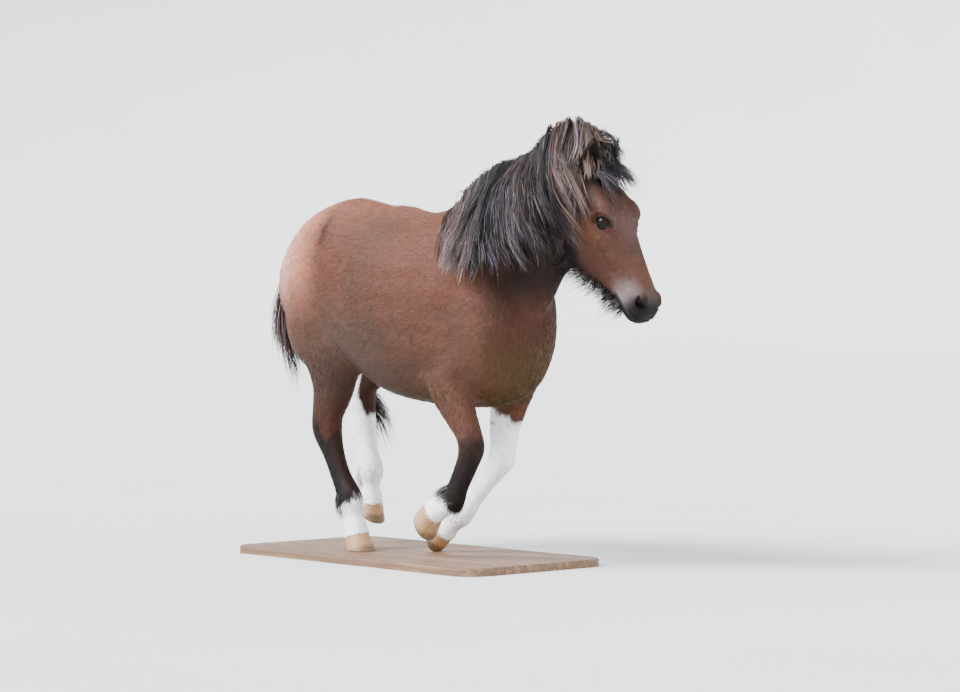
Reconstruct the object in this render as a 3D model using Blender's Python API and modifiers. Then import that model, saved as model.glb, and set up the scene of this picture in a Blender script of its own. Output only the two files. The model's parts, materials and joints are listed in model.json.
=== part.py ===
"""Shetland pony in mid-step: a still, life-size display model on a flat base.

The pony faces +X, its left side is +Y, and the ground it steps on is the top of the base.
Flesh is lofted from named stations, merged into one body and parted again with thin cuts,
so that neighbouring nodes meet face to face across GAP.
"""

import math
import random

import bmesh
import bpy
import numpy as np
from mathutils import Matrix, Vector
from mathutils.bvhtree import BVHTree

# Sizes of the whole, in metres
GAP = 0.0003
BASE_LENGTH = 0.96
BASE_WIDTH = 0.48
BASE_THICK = 0.02
BASE_CORNER = 0.06
BASE_EDGE = 0.004
GROUND = 0.014
BODY_VOXEL = 0.0052
HEAD_MESH = 5500
REST_MESH = 3400
RING_POINTS = 28
STATION_STEP = 0.014
SHELL_LIMIT = 1.6
CUT_BLOCK = 3.0
RELAX_STEPS = 12

# Trunk stations: x, lowest z, highest z, half width, z of the widest place
TRUNK = (
    (-0.448, 0.690, 0.765, 0.050, 0.728),
    (-0.430, 0.635, 0.812, 0.105, 0.720),
    (-0.385, 0.575, 0.868, 0.150, 0.710),
    (-0.305, 0.535, 0.924, 0.180, 0.725),
    (-0.200, 0.505, 0.950, 0.187, 0.730),
    (-0.100, 0.458, 0.938, 0.200, 0.670),
    (0.000, 0.420, 0.914, 0.213, 0.635),
    (0.100, 0.404, 0.903, 0.210, 0.620),
    (0.190, 0.398, 0.912, 0.190, 0.615),
    (0.270, 0.397, 0.918, 0.165, 0.610),
    (0.345, 0.406, 0.880, 0.147, 0.600),
    (0.405, 0.435, 0.822, 0.128, 0.595),
    (0.445, 0.480, 0.748, 0.095, 0.595),
    (0.466, 0.530, 0.665, 0.050, 0.595),
)

# Neck stations: x, y, z of the centre, half width, half depth, lean of the ring in degrees
NECK = (
    (0.255, 0.000, 0.720, 0.120, 0.190, 42.0),
    (0.335, 0.004, 0.782, 0.110, 0.198, 45.0),
    (0.405, 0.016, 0.840, 0.090, 0.170, 46.0),
    (0.470, 0.032, 0.888, 0.074, 0.140, 46.0),
    (0.530, 0.048, 0.922, 0.066, 0.114, 42.0),
    (0.585, 0.061, 0.935, 0.060, 0.088, 36.0),
)

# The head's own frame: the top of the poll, the yaw to the left and the slope of the face
POLL = Vector((0.617, 0.068, 1.008))
HEAD_YAW = math.radians(9.0)
FACE_SLOPE = math.radians(59.0)

# Head stations: distance down the face, how far the face stands forward of its line,
# depth from face to jaw, half width, share of the depth in front of the widest place
HEAD = (
    (-0.014, -0.046, 0.060, 0.040, 0.50),
    (0.008, -0.012, 0.120, 0.060, 0.46),
    (0.045, 0.006, 0.170, 0.074, 0.40),
    (0.090, 0.012, 0.194, 0.079, 0.36),
    (0.135, 0.010, 0.198, 0.077, 0.36),
    (0.185, 0.003, 0.187, 0.067, 0.38),
    (0.230, -0.002, 0.156, 0.055, 0.42),
    (0.275, -0.007, 0.125, 0.045, 0.45),
    (0.315, -0.012, 0.106, 0.042, 0.48),
    (0.350, -0.017, 0.098, 0.044, 0.48),
    (0.378, -0.024, 0.088, 0.043, 0.50),
    (0.397, -0.034, 0.070, 0.035, 0.52),
    (0.407, -0.046, 0.044, 0.022, 0.52),
)

# Rounded swellings on the head: down the face, forward, to the side, and three half sizes
HEAD_SWELLINGS = (
    ("brow", 0.130, -0.006, 0.054, 0.034, 0.022, 0.028),
    ("orbit", 0.152, -0.024, 0.046, 0.037, 0.031, 0.022),
    ("cheek", 0.160, -0.112, 0.045, 0.060, 0.062, 0.026),
    ("crest", 0.225, -0.048, 0.040, 0.048, 0.012, 0.016),
    ("nostril", 0.364, -0.042, 0.025, 0.026, 0.024, 0.020),
    ("lip", 0.374, -0.072, 0.022, 0.028, 0.024, 0.021),
)
CHIN = (0.374, -0.094, 0.024, 0.022, 0.027)

# Eyes: place on the head, size of the ball, and the rolled rims of the lids round it
EYE_PLACE = (0.152, -0.022, 0.0550)
EYE_RADIUS = 0.0190
EYE_RINGS = 6
LID_THICK = 0.0028
LID_LONG = 0.0172
LID_HIGH = 0.0125
LID_POINTS = 16

# Nostril: place and half sizes of the hollow, and its turn about the side of the head
NOSTRIL_PLACE = (0.373, -0.045, 0.0455)
NOSTRIL_HALF = (0.0085, 0.0150, 0.016)
NOSTRIL_TURN = math.radians(14.0)

# Mouth: the slit between the lips runs from its corners round the front of the muzzle
MOUTH_CORNER = (0.318, -0.094)
MOUTH_FRONT = (0.420, -0.070)
MOUTH_GAPE = 0.0026
MOUTH_DEPTH = 0.012
MOUTH_HALF_WIDTH = 0.043
MOUTH_REACH = 0.93
MOUTH_STEPS = 8

# Ears: place of the base on the head, then the ear's own sizes
EAR_BASE = (0.022, -0.010, 0.048)
EAR_LEANS = {-1: Vector((0.42, 0.02, 0.90)), 1: Vector((0.08, 0.02, 0.95))}
EAR_OUTWARD = 0.20
EAR_LENGTH = 0.094
EAR_SINK = 0.022
EAR_HALF_WIDTH = 0.0270
EAR_CUP = 0.0200
EAR_WALL = 0.0050
EAR_ROWS = 7
EAR_COLUMNS = 6

# Legs: name, then stations of x, y, z, half width and half depth from the trunk to the coronet
LEGS = {
    "leg_fore_right": (
        (0.330, -0.080, 0.640, 0.060, 0.105),
        (0.275, -0.098, 0.530, 0.058, 0.088),
        (0.262, -0.108, 0.460, 0.046, 0.066),
        (0.300, -0.106, 0.385, 0.036, 0.048),
        (0.328, -0.102, 0.332, 0.031, 0.037),
        (0.334, -0.100, 0.300, 0.032, 0.038),
        (0.318, -0.099, 0.262, 0.024, 0.031),
        (0.288, -0.097, 0.214, 0.022, 0.029),
        (0.258, -0.095, 0.168, 0.026, 0.033),
        (0.224, -0.094, 0.149, 0.025, 0.029),
        (0.187, -0.093, 0.136, 0.032, 0.035),
    ),
    "leg_fore_left": (
        (0.340, 0.080, 0.640, 0.060, 0.105),
        (0.300, 0.098, 0.530, 0.058, 0.088),
        (0.262, 0.106, 0.445, 0.046, 0.064),
        (0.240, 0.104, 0.360, 0.037, 0.048),
        (0.232, 0.102, 0.300, 0.032, 0.038),
        (0.228, 0.100, 0.262, 0.033, 0.039),
        (0.205, 0.090, 0.225, 0.024, 0.031),
        (0.160, 0.072, 0.168, 0.022, 0.029),
        (0.120, 0.056, 0.118, 0.027, 0.034),
        (0.093, 0.050, 0.093, 0.026, 0.030),
        (0.066, 0.046, 0.072, 0.032, 0.035),
    ),
    "leg_hind_right": (
        (-0.262, -0.085, 0.740, 0.075, 0.150),
        (-0.232, -0.105, 0.620, 0.074, 0.154),
        (-0.200, -0.112, 0.530, 0.059, 0.119),
        (-0.206, -0.108, 0.445, 0.046, 0.074),
        (-0.234, -0.103, 0.376, 0.035, 0.052),
        (-0.240, -0.100, 0.330, 0.035, 0.048),
        (-0.217, -0.098, 0.270, 0.026, 0.035),
        (-0.190, -0.096, 0.211, 0.024, 0.031),
        (-0.155, -0.093, 0.151, 0.028, 0.035),
        (-0.141, -0.092, 0.101, 0.027, 0.031),
        (-0.128, -0.091, 0.0555, 0.033, 0.036),
    ),
    "leg_hind_left": (
        (-0.265, 0.085, 0.740, 0.075, 0.150),
        (-0.252, 0.105, 0.630, 0.074, 0.150),
        (-0.252, 0.112, 0.560, 0.058, 0.112),
        (-0.292, 0.108, 0.500, 0.045, 0.070),
        (-0.334, 0.103, 0.452, 0.035, 0.052),
        (-0.346, 0.101, 0.406, 0.035, 0.047),
        (-0.334, 0.100, 0.335, 0.027, 0.038),
        (-0.318, 0.100, 0.274, 0.024, 0.032),
        (-0.302, 0.100, 0.212, 0.028, 0.035),
        (-0.298, 0.100, 0.166, 0.026, 0.030),
        (-0.297, 0.100, 0.122, 0.032, 0.035),
    ),
}

# Hooves: the way the toe wall runs and the way the toe points along the sole
HOOF_WALL = {
    "leg_fore_right": (Vector((-0.55, 0.0, -0.83)), Vector((0.45, 0.0, -0.89))),
    "leg_fore_left": (Vector((-0.78, -0.08, -0.62)), Vector((0.10, 0.0, -0.99))),
    "leg_hind_right": (Vector((0.50, 0.0, -0.866)), Vector((1.0, 0.0, 0.0))),
    "leg_hind_left": (Vector((0.05, 0.0, -1.0)), Vector((0.85, 0.0, -0.53))),
}
HOOF_LENGTH = 0.058
HOOF_TOP = (0.0295, 0.0325)
HOOF_SOLE = (0.0360, 0.0400)
HOOF_SIDES = 20
HOOF_ROWS = 4
CORONET_SPARE = 0.030

# Cuts: the plane behind the jaw and poll, the plane that parts the mane from the forelock, and
# the plane at the root of the neck
HEAD_CUT = (Vector((0.553, 0.05, 0.90)), Vector((0.970, 0.154, -0.170)))
HAIR_CUT = (Vector((0.545, 0.065, 1.080)), Vector((0.907, 0.150, 0.409)))
NECK_CUT = (Vector((0.315, 0.0, 0.80)), Vector((0.775, 0.0, 0.630)))

# Leg cuts: a point on the sloping top, its slope along x and up towards the outside,
# then the reach of the cut back, forward, inward to the midline and outward
FORE_CUT = (Vector((0.270, 0.112, 0.462)), 0.0, 0.55, 0.105, 0.150, 0.072, 0.160)
HIND_CUT = (Vector((-0.245, 0.110, 0.537)), -0.47, 0.0, 0.260, 0.185, 0.110, 0.160)
CUT_DEPTH = 0.60

# Below this height a fore leg's cut reaches further back and ahead, to take in the folded foot
FORE_FOOT = (0.385, -0.080, 0.450)

# Locks: shares of the length where the rings stand, and how wide and thick each ring is
LOCK_SHARES = (0.0, 0.14, 0.28, 0.52, 0.80, 1.0)
LOCK_WIDTHS = (0.60, 0.85, 1.00, 0.94, 0.58, 0.10)
LOCK_BULGE = (1.00, 1.00, 0.90, 0.75, 0.55, 0.20)
LOCK_SINK = 0.014
LOCK_LIFT = 0.0035
SEED = 7
GOLDEN_TURN = math.radians(137.5)

# Guide curves of the mane and forelock from the withers over the poll to the brow: root, crown,
# and three places down to the tip; the last curves grow from the head
HAIR_CURVES = (
    (
        (0.188, 0.003, 0.915), (0.205, -0.030, 0.916), (0.265, -0.100, 0.863),
        (0.302, -0.150, 0.798), (0.323, -0.180, 0.742),
    ),
    (
        (0.252, 0.011, 0.947), (0.264, -0.020, 0.973), (0.329, -0.100, 0.893),
        (0.351, -0.155, 0.810), (0.366, -0.190, 0.730),
    ),
    (
        (0.313, 0.021, 0.968), (0.325, -0.010, 1.014), (0.378, -0.100, 0.917),
        (0.395, -0.155, 0.816), (0.415, -0.185, 0.732),
    ),
    (
        (0.366, 0.031, 0.984), (0.375, -0.010, 1.020), (0.409, -0.100, 0.922),
        (0.431, -0.145, 0.822), (0.473, -0.175, 0.734),
    ),
    (
        (0.404, 0.038, 0.995), (0.408, -0.000, 1.030), (0.435, -0.095, 0.940),
        (0.484, -0.135, 0.839), (0.560, -0.155, 0.739),
    ),
    (
        (0.449, 0.046, 1.004), (0.451, 0.010, 1.043), (0.473, -0.070, 0.965),
        (0.538, -0.110, 0.863), (0.607, -0.120, 0.764),
    ),
    (
        (0.486, 0.054, 1.007), (0.472, 0.020, 1.074), (0.510, -0.050, 0.977),
        (0.569, -0.080, 0.888), (0.645, -0.080, 0.789),
    ),
    (
        (0.524, 0.061, 1.007), (0.483, 0.040, 1.108), (0.524, -0.020, 1.002),
        (0.586, -0.045, 0.913), (0.657, -0.045, 0.819),
    ),
    (
        (0.560, 0.064, 1.008), (0.512, 0.060, 1.135), (0.533, 0.005, 1.036),
        (0.598, -0.020, 0.950), (0.635, -0.020, 0.875),
    ),
    (
        (0.584, 0.068, 1.009), (0.551, 0.070, 1.125), (0.585, 0.020, 1.050),
        (0.615, 0.000, 0.981), (0.634, 0.000, 0.925),
    ),
    (
        (0.590, 0.070, 1.010), (0.576, 0.080, 1.110), (0.630, 0.045, 1.049),
        (0.652, 0.015, 0.992), (0.646, 0.008, 0.949),
    ),
    (
        (0.596, 0.074, 1.010), (0.589, 0.080, 1.096), (0.653, 0.070, 1.055),
        (0.674, 0.055, 1.011), (0.667, 0.040, 0.972),
    ),
    (
        (0.598, 0.082, 1.009), (0.583, 0.090, 1.086), (0.650, 0.095, 1.043),
        (0.670, 0.095, 1.002), (0.677, 0.085, 0.971),
    ),
    (
        (0.592, 0.096, 1.004), (0.549, 0.110, 1.076), (0.601, 0.135, 1.053),
        (0.632, 0.140, 1.008), (0.649, 0.128, 0.972),
    ),
)

# Rows of locks between the guide curves: first and last curve, locks, how far each row is drawn in
# to the skin, where along the curve it starts, width, thickness
MANE_ROWS = (
    ("inner", 0.5, 6.6, 6, 0.85, 0.32, 0.084, 0.014),
    ("outer", 0.0, 8.5, 14, 0.10, 0.00, 0.070, 0.013),
)
POLL_ROWS = (
    ("inner", 9.4, 12.6, 3, 0.60, 0.36, 0.056, 0.012),
    ("outer", 9.0, 13.0, 6, 0.08, 0.00, 0.050, 0.011),
)
CURVE_STRAY = 0.010
CURVE_SHORT = 0.20

# Short locks on the left of the crest: first and last share of the neck, locks, length, reach
LEFT_ROW = (0.20, 0.92, 3, 0.100, 0.045)
LEFT_TURN = math.radians(-28.0)
LEFT_WIDTH = 0.066

# Locks over the brow and beside the far cheek: root down the face, forward and aside, then the tip
# from the root as x, y, z, the rise, width and thickness
FORELOCK = (
    (0.026, 0.006, -0.024, (0.068, 0.030, -0.060), 0.050, 0.042, 0.011),
    (0.026, 0.006, 0.012, (0.058, 0.040, -0.066), 0.050, 0.042, 0.011),
    (0.000, -0.020, 0.030, (-0.010, 0.065, -0.120), 0.080, 0.044, 0.012),
)

# Beard: locks along the underside of the jaw, from the throat to the chin
BEARD_COUNT = 12
BEARD_RUN = (0.125, 0.350)
BEARD_FORWARD = (-0.176, -0.112)
BEARD_ASIDE = 0.020
BEARD_LENGTH = (0.054, 0.026)
BEARD_WIDTH = 0.046
BEARD_THICK = 0.011

# Tail: the dock's path, then the fall of the hair, as x, y, z and the spread of the locks
DOCK = (
    (-0.385, 0.000, 0.832, 0.026, 0.024),
    (-0.430, 0.000, 0.806, 0.029, 0.026),
    (-0.478, 0.008, 0.760, 0.026, 0.022),
    (-0.508, 0.020, 0.695, 0.018, 0.016),
    (-0.520, 0.036, 0.620, 0.008, 0.008),
)
TAIL_FALL = (
    (-0.430, 0.000, 0.806, 0.010),
    (-0.492, 0.008, 0.760, 0.022),
    (-0.540, 0.036, 0.660, 0.038),
    (-0.548, 0.090, 0.540, 0.052),
    (-0.512, 0.155, 0.420, 0.060),
    (-0.462, 0.212, 0.330, 0.054),
    (-0.420, 0.250, 0.256, 0.036),
)
TAIL_NEAR = (
    (-0.430, 0.000, 0.806, 0.010),
    (-0.495, 0.000, 0.766, 0.018),
    (-0.546, 0.002, 0.680, 0.024),
    (-0.560, 0.010, 0.580, 0.026),
    (-0.552, 0.024, 0.500, 0.024),
    (-0.545, 0.040, 0.430, 0.020),
)
TAIL_LOCKS = 9
TAIL_WIDTH = 0.078
TAIL_THICK = 0.014
TAIL_STEP = 0.02

# Feather: locks behind each fetlock
FEATHER_COUNT = 3
FEATHER_LENGTH = 0.042
FEATHER_REACH = 0.014
FEATHER_WIDTH = 0.026
FEATHER_THICK = 0.007
FETLOCK_STATION = -3


def clear_scene():
    for obj in list(bpy.data.objects):
        bpy.data.objects.remove(obj, do_unlink=True)


def make_collection(name):
    collection = bpy.data.collections.new(name)
    bpy.context.scene.collection.children.link(collection)
    return collection


def material(name, color, roughness, metallic=0.0):
    mat = bpy.data.materials.new(name)
    mat.use_nodes = True
    shader = mat.node_tree.nodes["Principled BSDF"]
    shader.inputs["Base Color"].default_value = (*color, 1.0)
    shader.inputs["Roughness"].default_value = roughness
    shader.inputs["Metallic"].default_value = metallic
    return mat


def object_from(bm, name, collection):
    """Makes an object of a bmesh, with outward faces, and frees the bmesh."""
    bmesh.ops.recalc_face_normals(bm, faces=bm.faces)
    mesh = bpy.data.meshes.new(name)
    bm.to_mesh(mesh)
    bm.free()
    obj = bpy.data.objects.new(name, mesh)
    collection.objects.link(obj)
    return obj


def drop(obj):
    bpy.data.objects.remove(obj, do_unlink=True)


def bake_modifiers(obj):
    """Replaces the object's mesh with its evaluated mesh and clears its modifiers."""
    graph = bpy.context.evaluated_depsgraph_get()
    mesh = bpy.data.meshes.new_from_object(obj.evaluated_get(graph))
    obj.modifiers.clear()
    obj.data = mesh


def smooth_rows(rows, step=STATION_STEP):
    """Fills in stations so that they follow one smooth curve through the given rows."""
    table = np.array(rows, dtype=float)
    padded = np.vstack([2 * table[0] - table[1], table, 2 * table[-1] - table[-2]])
    filled = []
    for i in range(1, len(padded) - 2):
        before, start, end, after = padded[i - 1 : i + 3]
        count = max(1, math.ceil(np.linalg.norm((end - start)[:3]) / step))
        for k in range(count):
            t = k / count
            filled.append(
                0.5
                * (
                    2 * start
                    + (end - before) * t
                    + (2 * before - 5 * start + 4 * end - after) * t**2
                    + (3 * start - before - 3 * end + after) * t**3
                )
            )
    filled.append(padded[-2])
    return filled


def ring(centre, side, up, half_side, half_up, half_down, power=0.9, count=RING_POINTS):
    """A closed ring of points, rounder as the power nears 1 and squarer below it."""
    points = []
    for k in range(count):
        turn = 2 * math.pi * k / count
        s, c = math.sin(turn), math.cos(turn)
        across = half_side * math.copysign(abs(s) ** power, s)
        reach = half_up if c > 0 else half_down
        along = reach * math.copysign(abs(c) ** power, c)
        points.append(Vector(centre) + Vector(side) * across + Vector(up) * along)
    return points


def loft(bm, rings):
    """Adds a closed skin over the rings to the bmesh."""
    loops = [[bm.verts.new(p) for p in points] for points in rings]
    count = len(loops[0])
    for lower, upper in zip(loops, loops[1:]):
        for k in range(count):
            j = (k + 1) % count
            bm.faces.new((lower[k], lower[j], upper[j], upper[k]))
    bm.faces.new(list(reversed(loops[0])))
    bm.faces.new(loops[-1])


def path_rings(rows, side_hint=Vector((0, 1, 0)), power=0.95, count=RING_POINTS, step=STATION_STEP):
    """Rings square to a path given as x, y, z, half width and half depth."""
    rows = smooth_rows(rows, step)
    rings = []
    for i, row in enumerate(rows):
        ahead = rows[min(i + 1, len(rows) - 1)][:3]
        behind = rows[max(i - 1, 0)][:3]
        along = Vector(ahead - behind).normalized()
        side = (side_hint - along * side_hint.dot(along)).normalized()
        up = along.cross(side)
        rings.append(ring(row[:3], side, up, row[3], row[4], row[4], power, count))
    return rings


def head_axes():
    """The head's unit vectors: down the face, forward of the face, and to the pony's left."""
    level = Vector((math.cos(HEAD_YAW), math.sin(HEAD_YAW), 0.0))
    down = level * math.cos(FACE_SLOPE) - Vector((0, 0, 1)) * math.sin(FACE_SLOPE)
    left = Vector((-math.sin(HEAD_YAW), math.cos(HEAD_YAW), 0.0))
    forward = down.cross(left)
    return down, forward, left


def on_head(down_face, forward, aside):
    """A point given in the head's own frame."""
    down, ahead, left = head_axes()
    return POLL + down * down_face + ahead * forward + left * aside


def ellipsoid(bm, centre, axes, halves, rings=10):
    """Adds a ball stretched along three axes."""
    frame = Matrix([[axes[c][r] for c in range(3)] for r in range(3)]).to_4x4()
    scale = Matrix.Diagonal((*halves, 1.0))
    matrix = Matrix.Translation(centre) @ frame @ scale
    bmesh.ops.create_uvsphere(bm, u_segments=2 * rings, v_segments=rings, radius=1.0, matrix=matrix)


def trunk_rings():
    rings = []
    for x, low, high, half, wide in smooth_rows(TRUNK):
        centre = Vector((x, 0.0, wide))
        rings.append(ring(centre, (0, 1, 0), (0, 0, 1), half, high - wide, wide - low, 0.86))
    return rings


def neck_rings():
    rings = []
    for x, y, z, half, deep, lean in smooth_rows(NECK):
        angle = math.radians(lean)
        up = Vector((-math.sin(angle), 0.0, math.cos(angle)))
        rings.append(ring((x, y, z), (0, 1, 0), up, half, deep, deep, 1.0))
    return rings


def head_rings():
    down, forward, left = head_axes()
    rings = []
    for t, stand, depth, half, share in smooth_rows(HEAD, 0.010):
        centre = on_head(t, stand - depth * share, 0.0)
        rings.append(ring(centre, left, forward, half, depth * share, depth * (1 - share), 0.84))
    return rings


def head_swellings(bm):
    down, forward, left = head_axes()
    axes = (down, forward, left)
    for _, t, ahead, aside, long, deep, wide in HEAD_SWELLINGS:
        for sign in (-1, 1):
            ellipsoid(bm, on_head(t, ahead, sign * aside), axes, (long, deep, wide))
    t, ahead, long, deep, wide = CHIN
    ellipsoid(bm, on_head(t, ahead, 0.0), axes, (long, deep, wide))


def foot_axis(rows):
    """The way the pastern runs into the hoof."""
    return (Vector(rows[-1][:3]) - Vector(rows[-2][:3])).normalized()


def past_coronet(rows):
    """A spare station beyond the coronet, so that the cut there is clean."""
    end = Vector(rows[-1][:3]) + foot_axis(rows) * CORONET_SPARE
    return (*end, rows[-1][3], rows[-1][4])


def build_flesh(collection):
    """Trunk, neck, head and legs merged into one closed, finely meshed body."""
    bm = bmesh.new()
    loft(bm, trunk_rings())
    loft(bm, neck_rings())
    loft(bm, head_rings())
    head_swellings(bm)
    for rows in LEGS.values():
        loft(bm, path_rings((*rows, past_coronet(rows))))
    body = object_from(bm, "flesh", collection)
    remesh = body.modifiers.new("Remesh", "REMESH")
    remesh.mode = "VOXEL"
    remesh.voxel_size = BODY_VOXEL
    relax = body.modifiers.new("Smooth", "SMOOTH")
    relax.factor = 0.5
    relax.iterations = RELAX_STEPS
    bake_modifiers(body)
    return body


def thinned(body, triangles, name, collection):
    """A copy of the body with about the given number of triangles."""
    twin = copy_of(body, name, collection)
    full = sum(len(p.vertices) - 2 for p in twin.data.polygons)
    thin = twin.modifiers.new("Decimate", "DECIMATE")
    thin.ratio = triangles / full
    bake_modifiers(twin)
    return twin


def cut_half(obj, point, normal, gap=GAP):
    """Keeps what lies behind the plane, less half the gap."""
    normal = Vector(normal).normalized()
    middle = Vector(point) + normal * (CUT_BLOCK - gap) / 2
    turn = normal.to_track_quat("Z", "Y").to_matrix().to_4x4()
    bm = bmesh.new()
    bmesh.ops.create_cube(bm, size=CUT_BLOCK, matrix=Matrix.Translation(middle) @ turn)
    solid_boolean(obj, "DIFFERENCE", [object_from(bm, "cut", obj.users_collection[0])])


def copy_of(obj, name, collection):
    twin = obj.copy()
    twin.data = obj.data.copy()
    twin.name = name
    collection.objects.link(twin)
    return twin


def solid_boolean(obj, operation, cutters, solver="MANIFOLD"):
    """Applies one Boolean with every cutter and removes the cutters."""
    group = make_collection("cutters")
    for cutter in cutters:
        for home in list(cutter.users_collection):
            home.objects.unlink(cutter)
        group.objects.link(cutter)
        cutter.hide_render = True
        cutter.display_type = "WIRE"
    tool = obj.modifiers.new("Boolean", "BOOLEAN")
    tool.operation = operation
    tool.solver = solver
    tool.operand_type = "COLLECTION"
    tool.collection = group
    bake_modifiers(obj)
    for cutter in cutters:
        drop(cutter)
    bpy.data.collections.remove(group)


def keep_largest(obj, weld=0.000001):
    """Merges stray points and keeps only the closed surface with the largest volume."""
    bm = bmesh.new()
    bm.from_mesh(obj.data)
    bmesh.ops.remove_doubles(bm, verts=bm.verts, dist=weld)
    bmesh.ops.triangulate(bm, faces=bm.faces)
    left = set(bm.faces)
    parts = []
    while left:
        seed = left.pop()
        group, edge_of = [seed], [seed]
        while edge_of:
            face = edge_of.pop()
            for edge in face.edges:
                for other in edge.link_faces:
                    if other in left:
                        left.discard(other)
                        group.append(other)
                        edge_of.append(other)
        parts.append(group)
    volumes = [abs(sum(signed_volume(f) for f in group)) for group in parts]
    keep = parts[volumes.index(max(volumes))]
    scraps = [f for group in parts if group is not keep for f in group]
    bmesh.ops.delete(bm, geom=scraps, context="FACES")
    bmesh.ops.delete(bm, geom=[e for e in bm.edges if not e.link_faces], context="EDGES")
    bmesh.ops.delete(bm, geom=[v for v in bm.verts if not v.link_edges], context="VERTS")
    bm.to_mesh(obj.data)
    bm.free()


def signed_volume(face):
    a, b, c = (v.co for v in face.verts)
    return a.dot(b.cross(c)) / 6


def box(name, collection, low, high, matrix=Matrix.Identity(4)):
    """A block between two corners, placed by a matrix."""
    bm = bmesh.new()
    bmesh.ops.create_cube(bm, size=1.0)
    size = Vector(high) - Vector(low)
    middle = (Vector(high) + Vector(low)) / 2
    bmesh.ops.scale(bm, vec=size, verts=bm.verts)
    bmesh.ops.translate(bm, vec=middle, verts=bm.verts)
    bmesh.ops.transform(bm, matrix=matrix, verts=bm.verts)
    return object_from(bm, name, collection)


def inflated(obj, amount, name, collection):
    """A copy whose skin stands out by the amount, used to keep a neighbour clear."""
    twin = copy_of(obj, name, collection)
    bm = bmesh.new()
    bm.from_mesh(twin.data)
    bm.normal_update()
    moves = {}
    for v in bm.verts:
        moves[v] = v.normal * amount * min(v.calc_shell_factor(), SHELL_LIMIT)
    for v, move in moves.items():
        v.co += move
    bm.to_mesh(twin.data)
    bm.free()
    return twin


def leg_block(name, collection, grow=0.0):
    """The block that takes one leg out of the body, its top sloping with the elbow or groin."""
    sign = 1 if name.endswith("left") else -1
    at, slope, rise, back, ahead, inward, outward = FORE_CUT if "fore" in name else HIND_CUT
    at = Vector((at.x, sign * at.y, at.z))
    inner = min(inward + grow, abs(at.y) + grow) - (GAP / 2 if grow == 0 else 0)
    ends = sorted((-sign * inner, sign * (outward + grow)))
    shear = Matrix.Identity(4)
    shear[2][0] = slope
    shear[2][1] = sign * rise
    low = (-back - grow, ends[0], -CUT_DEPTH)
    high = (ahead + grow, ends[1], grow)
    block = box("block_" + name, collection, low, high, Matrix.Translation(at) @ shear)
    if "fore" in name:
        top, rear, front = FORE_FOOT
        sides = sorted((sign * GAP / 2, sign * (at.y * sign + outward)))
        low = (rear - grow, sides[0] - grow, -CUT_DEPTH / 2)
        high = (front + grow, sides[1] + grow, top + grow)
        solid_boolean(block, "UNION", [box("foot_" + name, collection, low, high)])
    return block


def part_flesh(body, collection):
    """Parts the flesh into head, neck, torso and legs with thin cuts."""
    parts = {}
    head = thinned(body, HEAD_MESH, "head", collection)
    cut_half(head, HEAD_CUT[0], -HEAD_CUT[1])
    torso = thinned(body, REST_MESH, "torso", collection)
    neck = copy_of(torso, "neck", collection)
    cut_half(neck, HEAD_CUT[0], HEAD_CUT[1])
    cut_half(neck, NECK_CUT[0], -NECK_CUT[1])
    cut_half(torso, NECK_CUT[0], NECK_CUT[1])
    for name, rows in LEGS.items():
        leg = copy_of(torso, name, collection)
        solid_boolean(leg, "INTERSECT", [leg_block(name, collection)])
        cut_half(leg, Vector(rows[-1][:3]), foot_axis(rows))
        parts[name] = leg
    solid_boolean(torso, "DIFFERENCE", [leg_block(n, collection, GAP) for n in LEGS])
    parts.update(head=head, neck=neck, torso=torso)
    for part in parts.values():
        keep_largest(part)
    return parts


def build_hoof(name, collection):
    """A hoof from the coronet to the sole, trimmed flat where it meets the ground."""
    rows = LEGS[name]
    axis = foot_axis(rows)
    side = Vector((0, 1, 0))
    side = (side - axis * side.dot(axis)).normalized()
    front = axis.cross(side)
    wall, toe = (v.normalized() for v in HOOF_WALL[name])
    crown = Vector(rows[-1][:3]) + axis * GAP / 2
    tip = crown + front * HOOF_TOP[1] + wall * HOOF_LENGTH
    sole = tip - toe * HOOF_SOLE[1]
    top = ring(crown, side, front, HOOF_TOP[0], HOOF_TOP[1], HOOF_TOP[1], 1.0, HOOF_SIDES)
    low = ring(sole, Vector((0, 1, 0)), toe, HOOF_SOLE[0], HOOF_SOLE[1], HOOF_SOLE[1], 0.95, HOOF_SIDES)
    rings = []
    for k in range(HOOF_ROWS):
        f = k / (HOOF_ROWS - 1)
        rings.append([a.lerp(b, f) for a, b in zip(top, low)])
    bm = bmesh.new()
    loft(bm, rings)
    hoof = object_from(bm, name.replace("leg", "hoof"), collection)
    cut_half(hoof, (0, 0, GROUND + GAP / 2), (0, 0, -1))
    return hoof


def ear_axes(sign):
    """The ear's long axis, the way its cup opens and its width, for one side of the head."""
    down, forward, left = head_axes()
    rise = (EAR_LEANS[sign] + left * sign * EAR_OUTWARD).normalized()
    opening = forward * 0.80 + left * sign * 0.60
    opening = (opening - rise * opening.dot(rise)).normalized()
    return rise, opening, rise.cross(opening)


def ear_section(u):
    """Half width, depth of the back and depth of the cup at a share of the ear's height."""
    if u < 0.35:
        wide = 0.60 + 0.40 * math.sin(u / 0.35 * math.pi / 2)
    else:
        wide = math.cos((u - 0.35) / 0.65 * math.pi / 2) ** 0.75
    wide = max(wide, 0.07)
    cup = min(1.0, max(0.0, (u - 0.18) / 0.20))
    return EAR_HALF_WIDTH * wide, EAR_CUP * wide, cup


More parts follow.
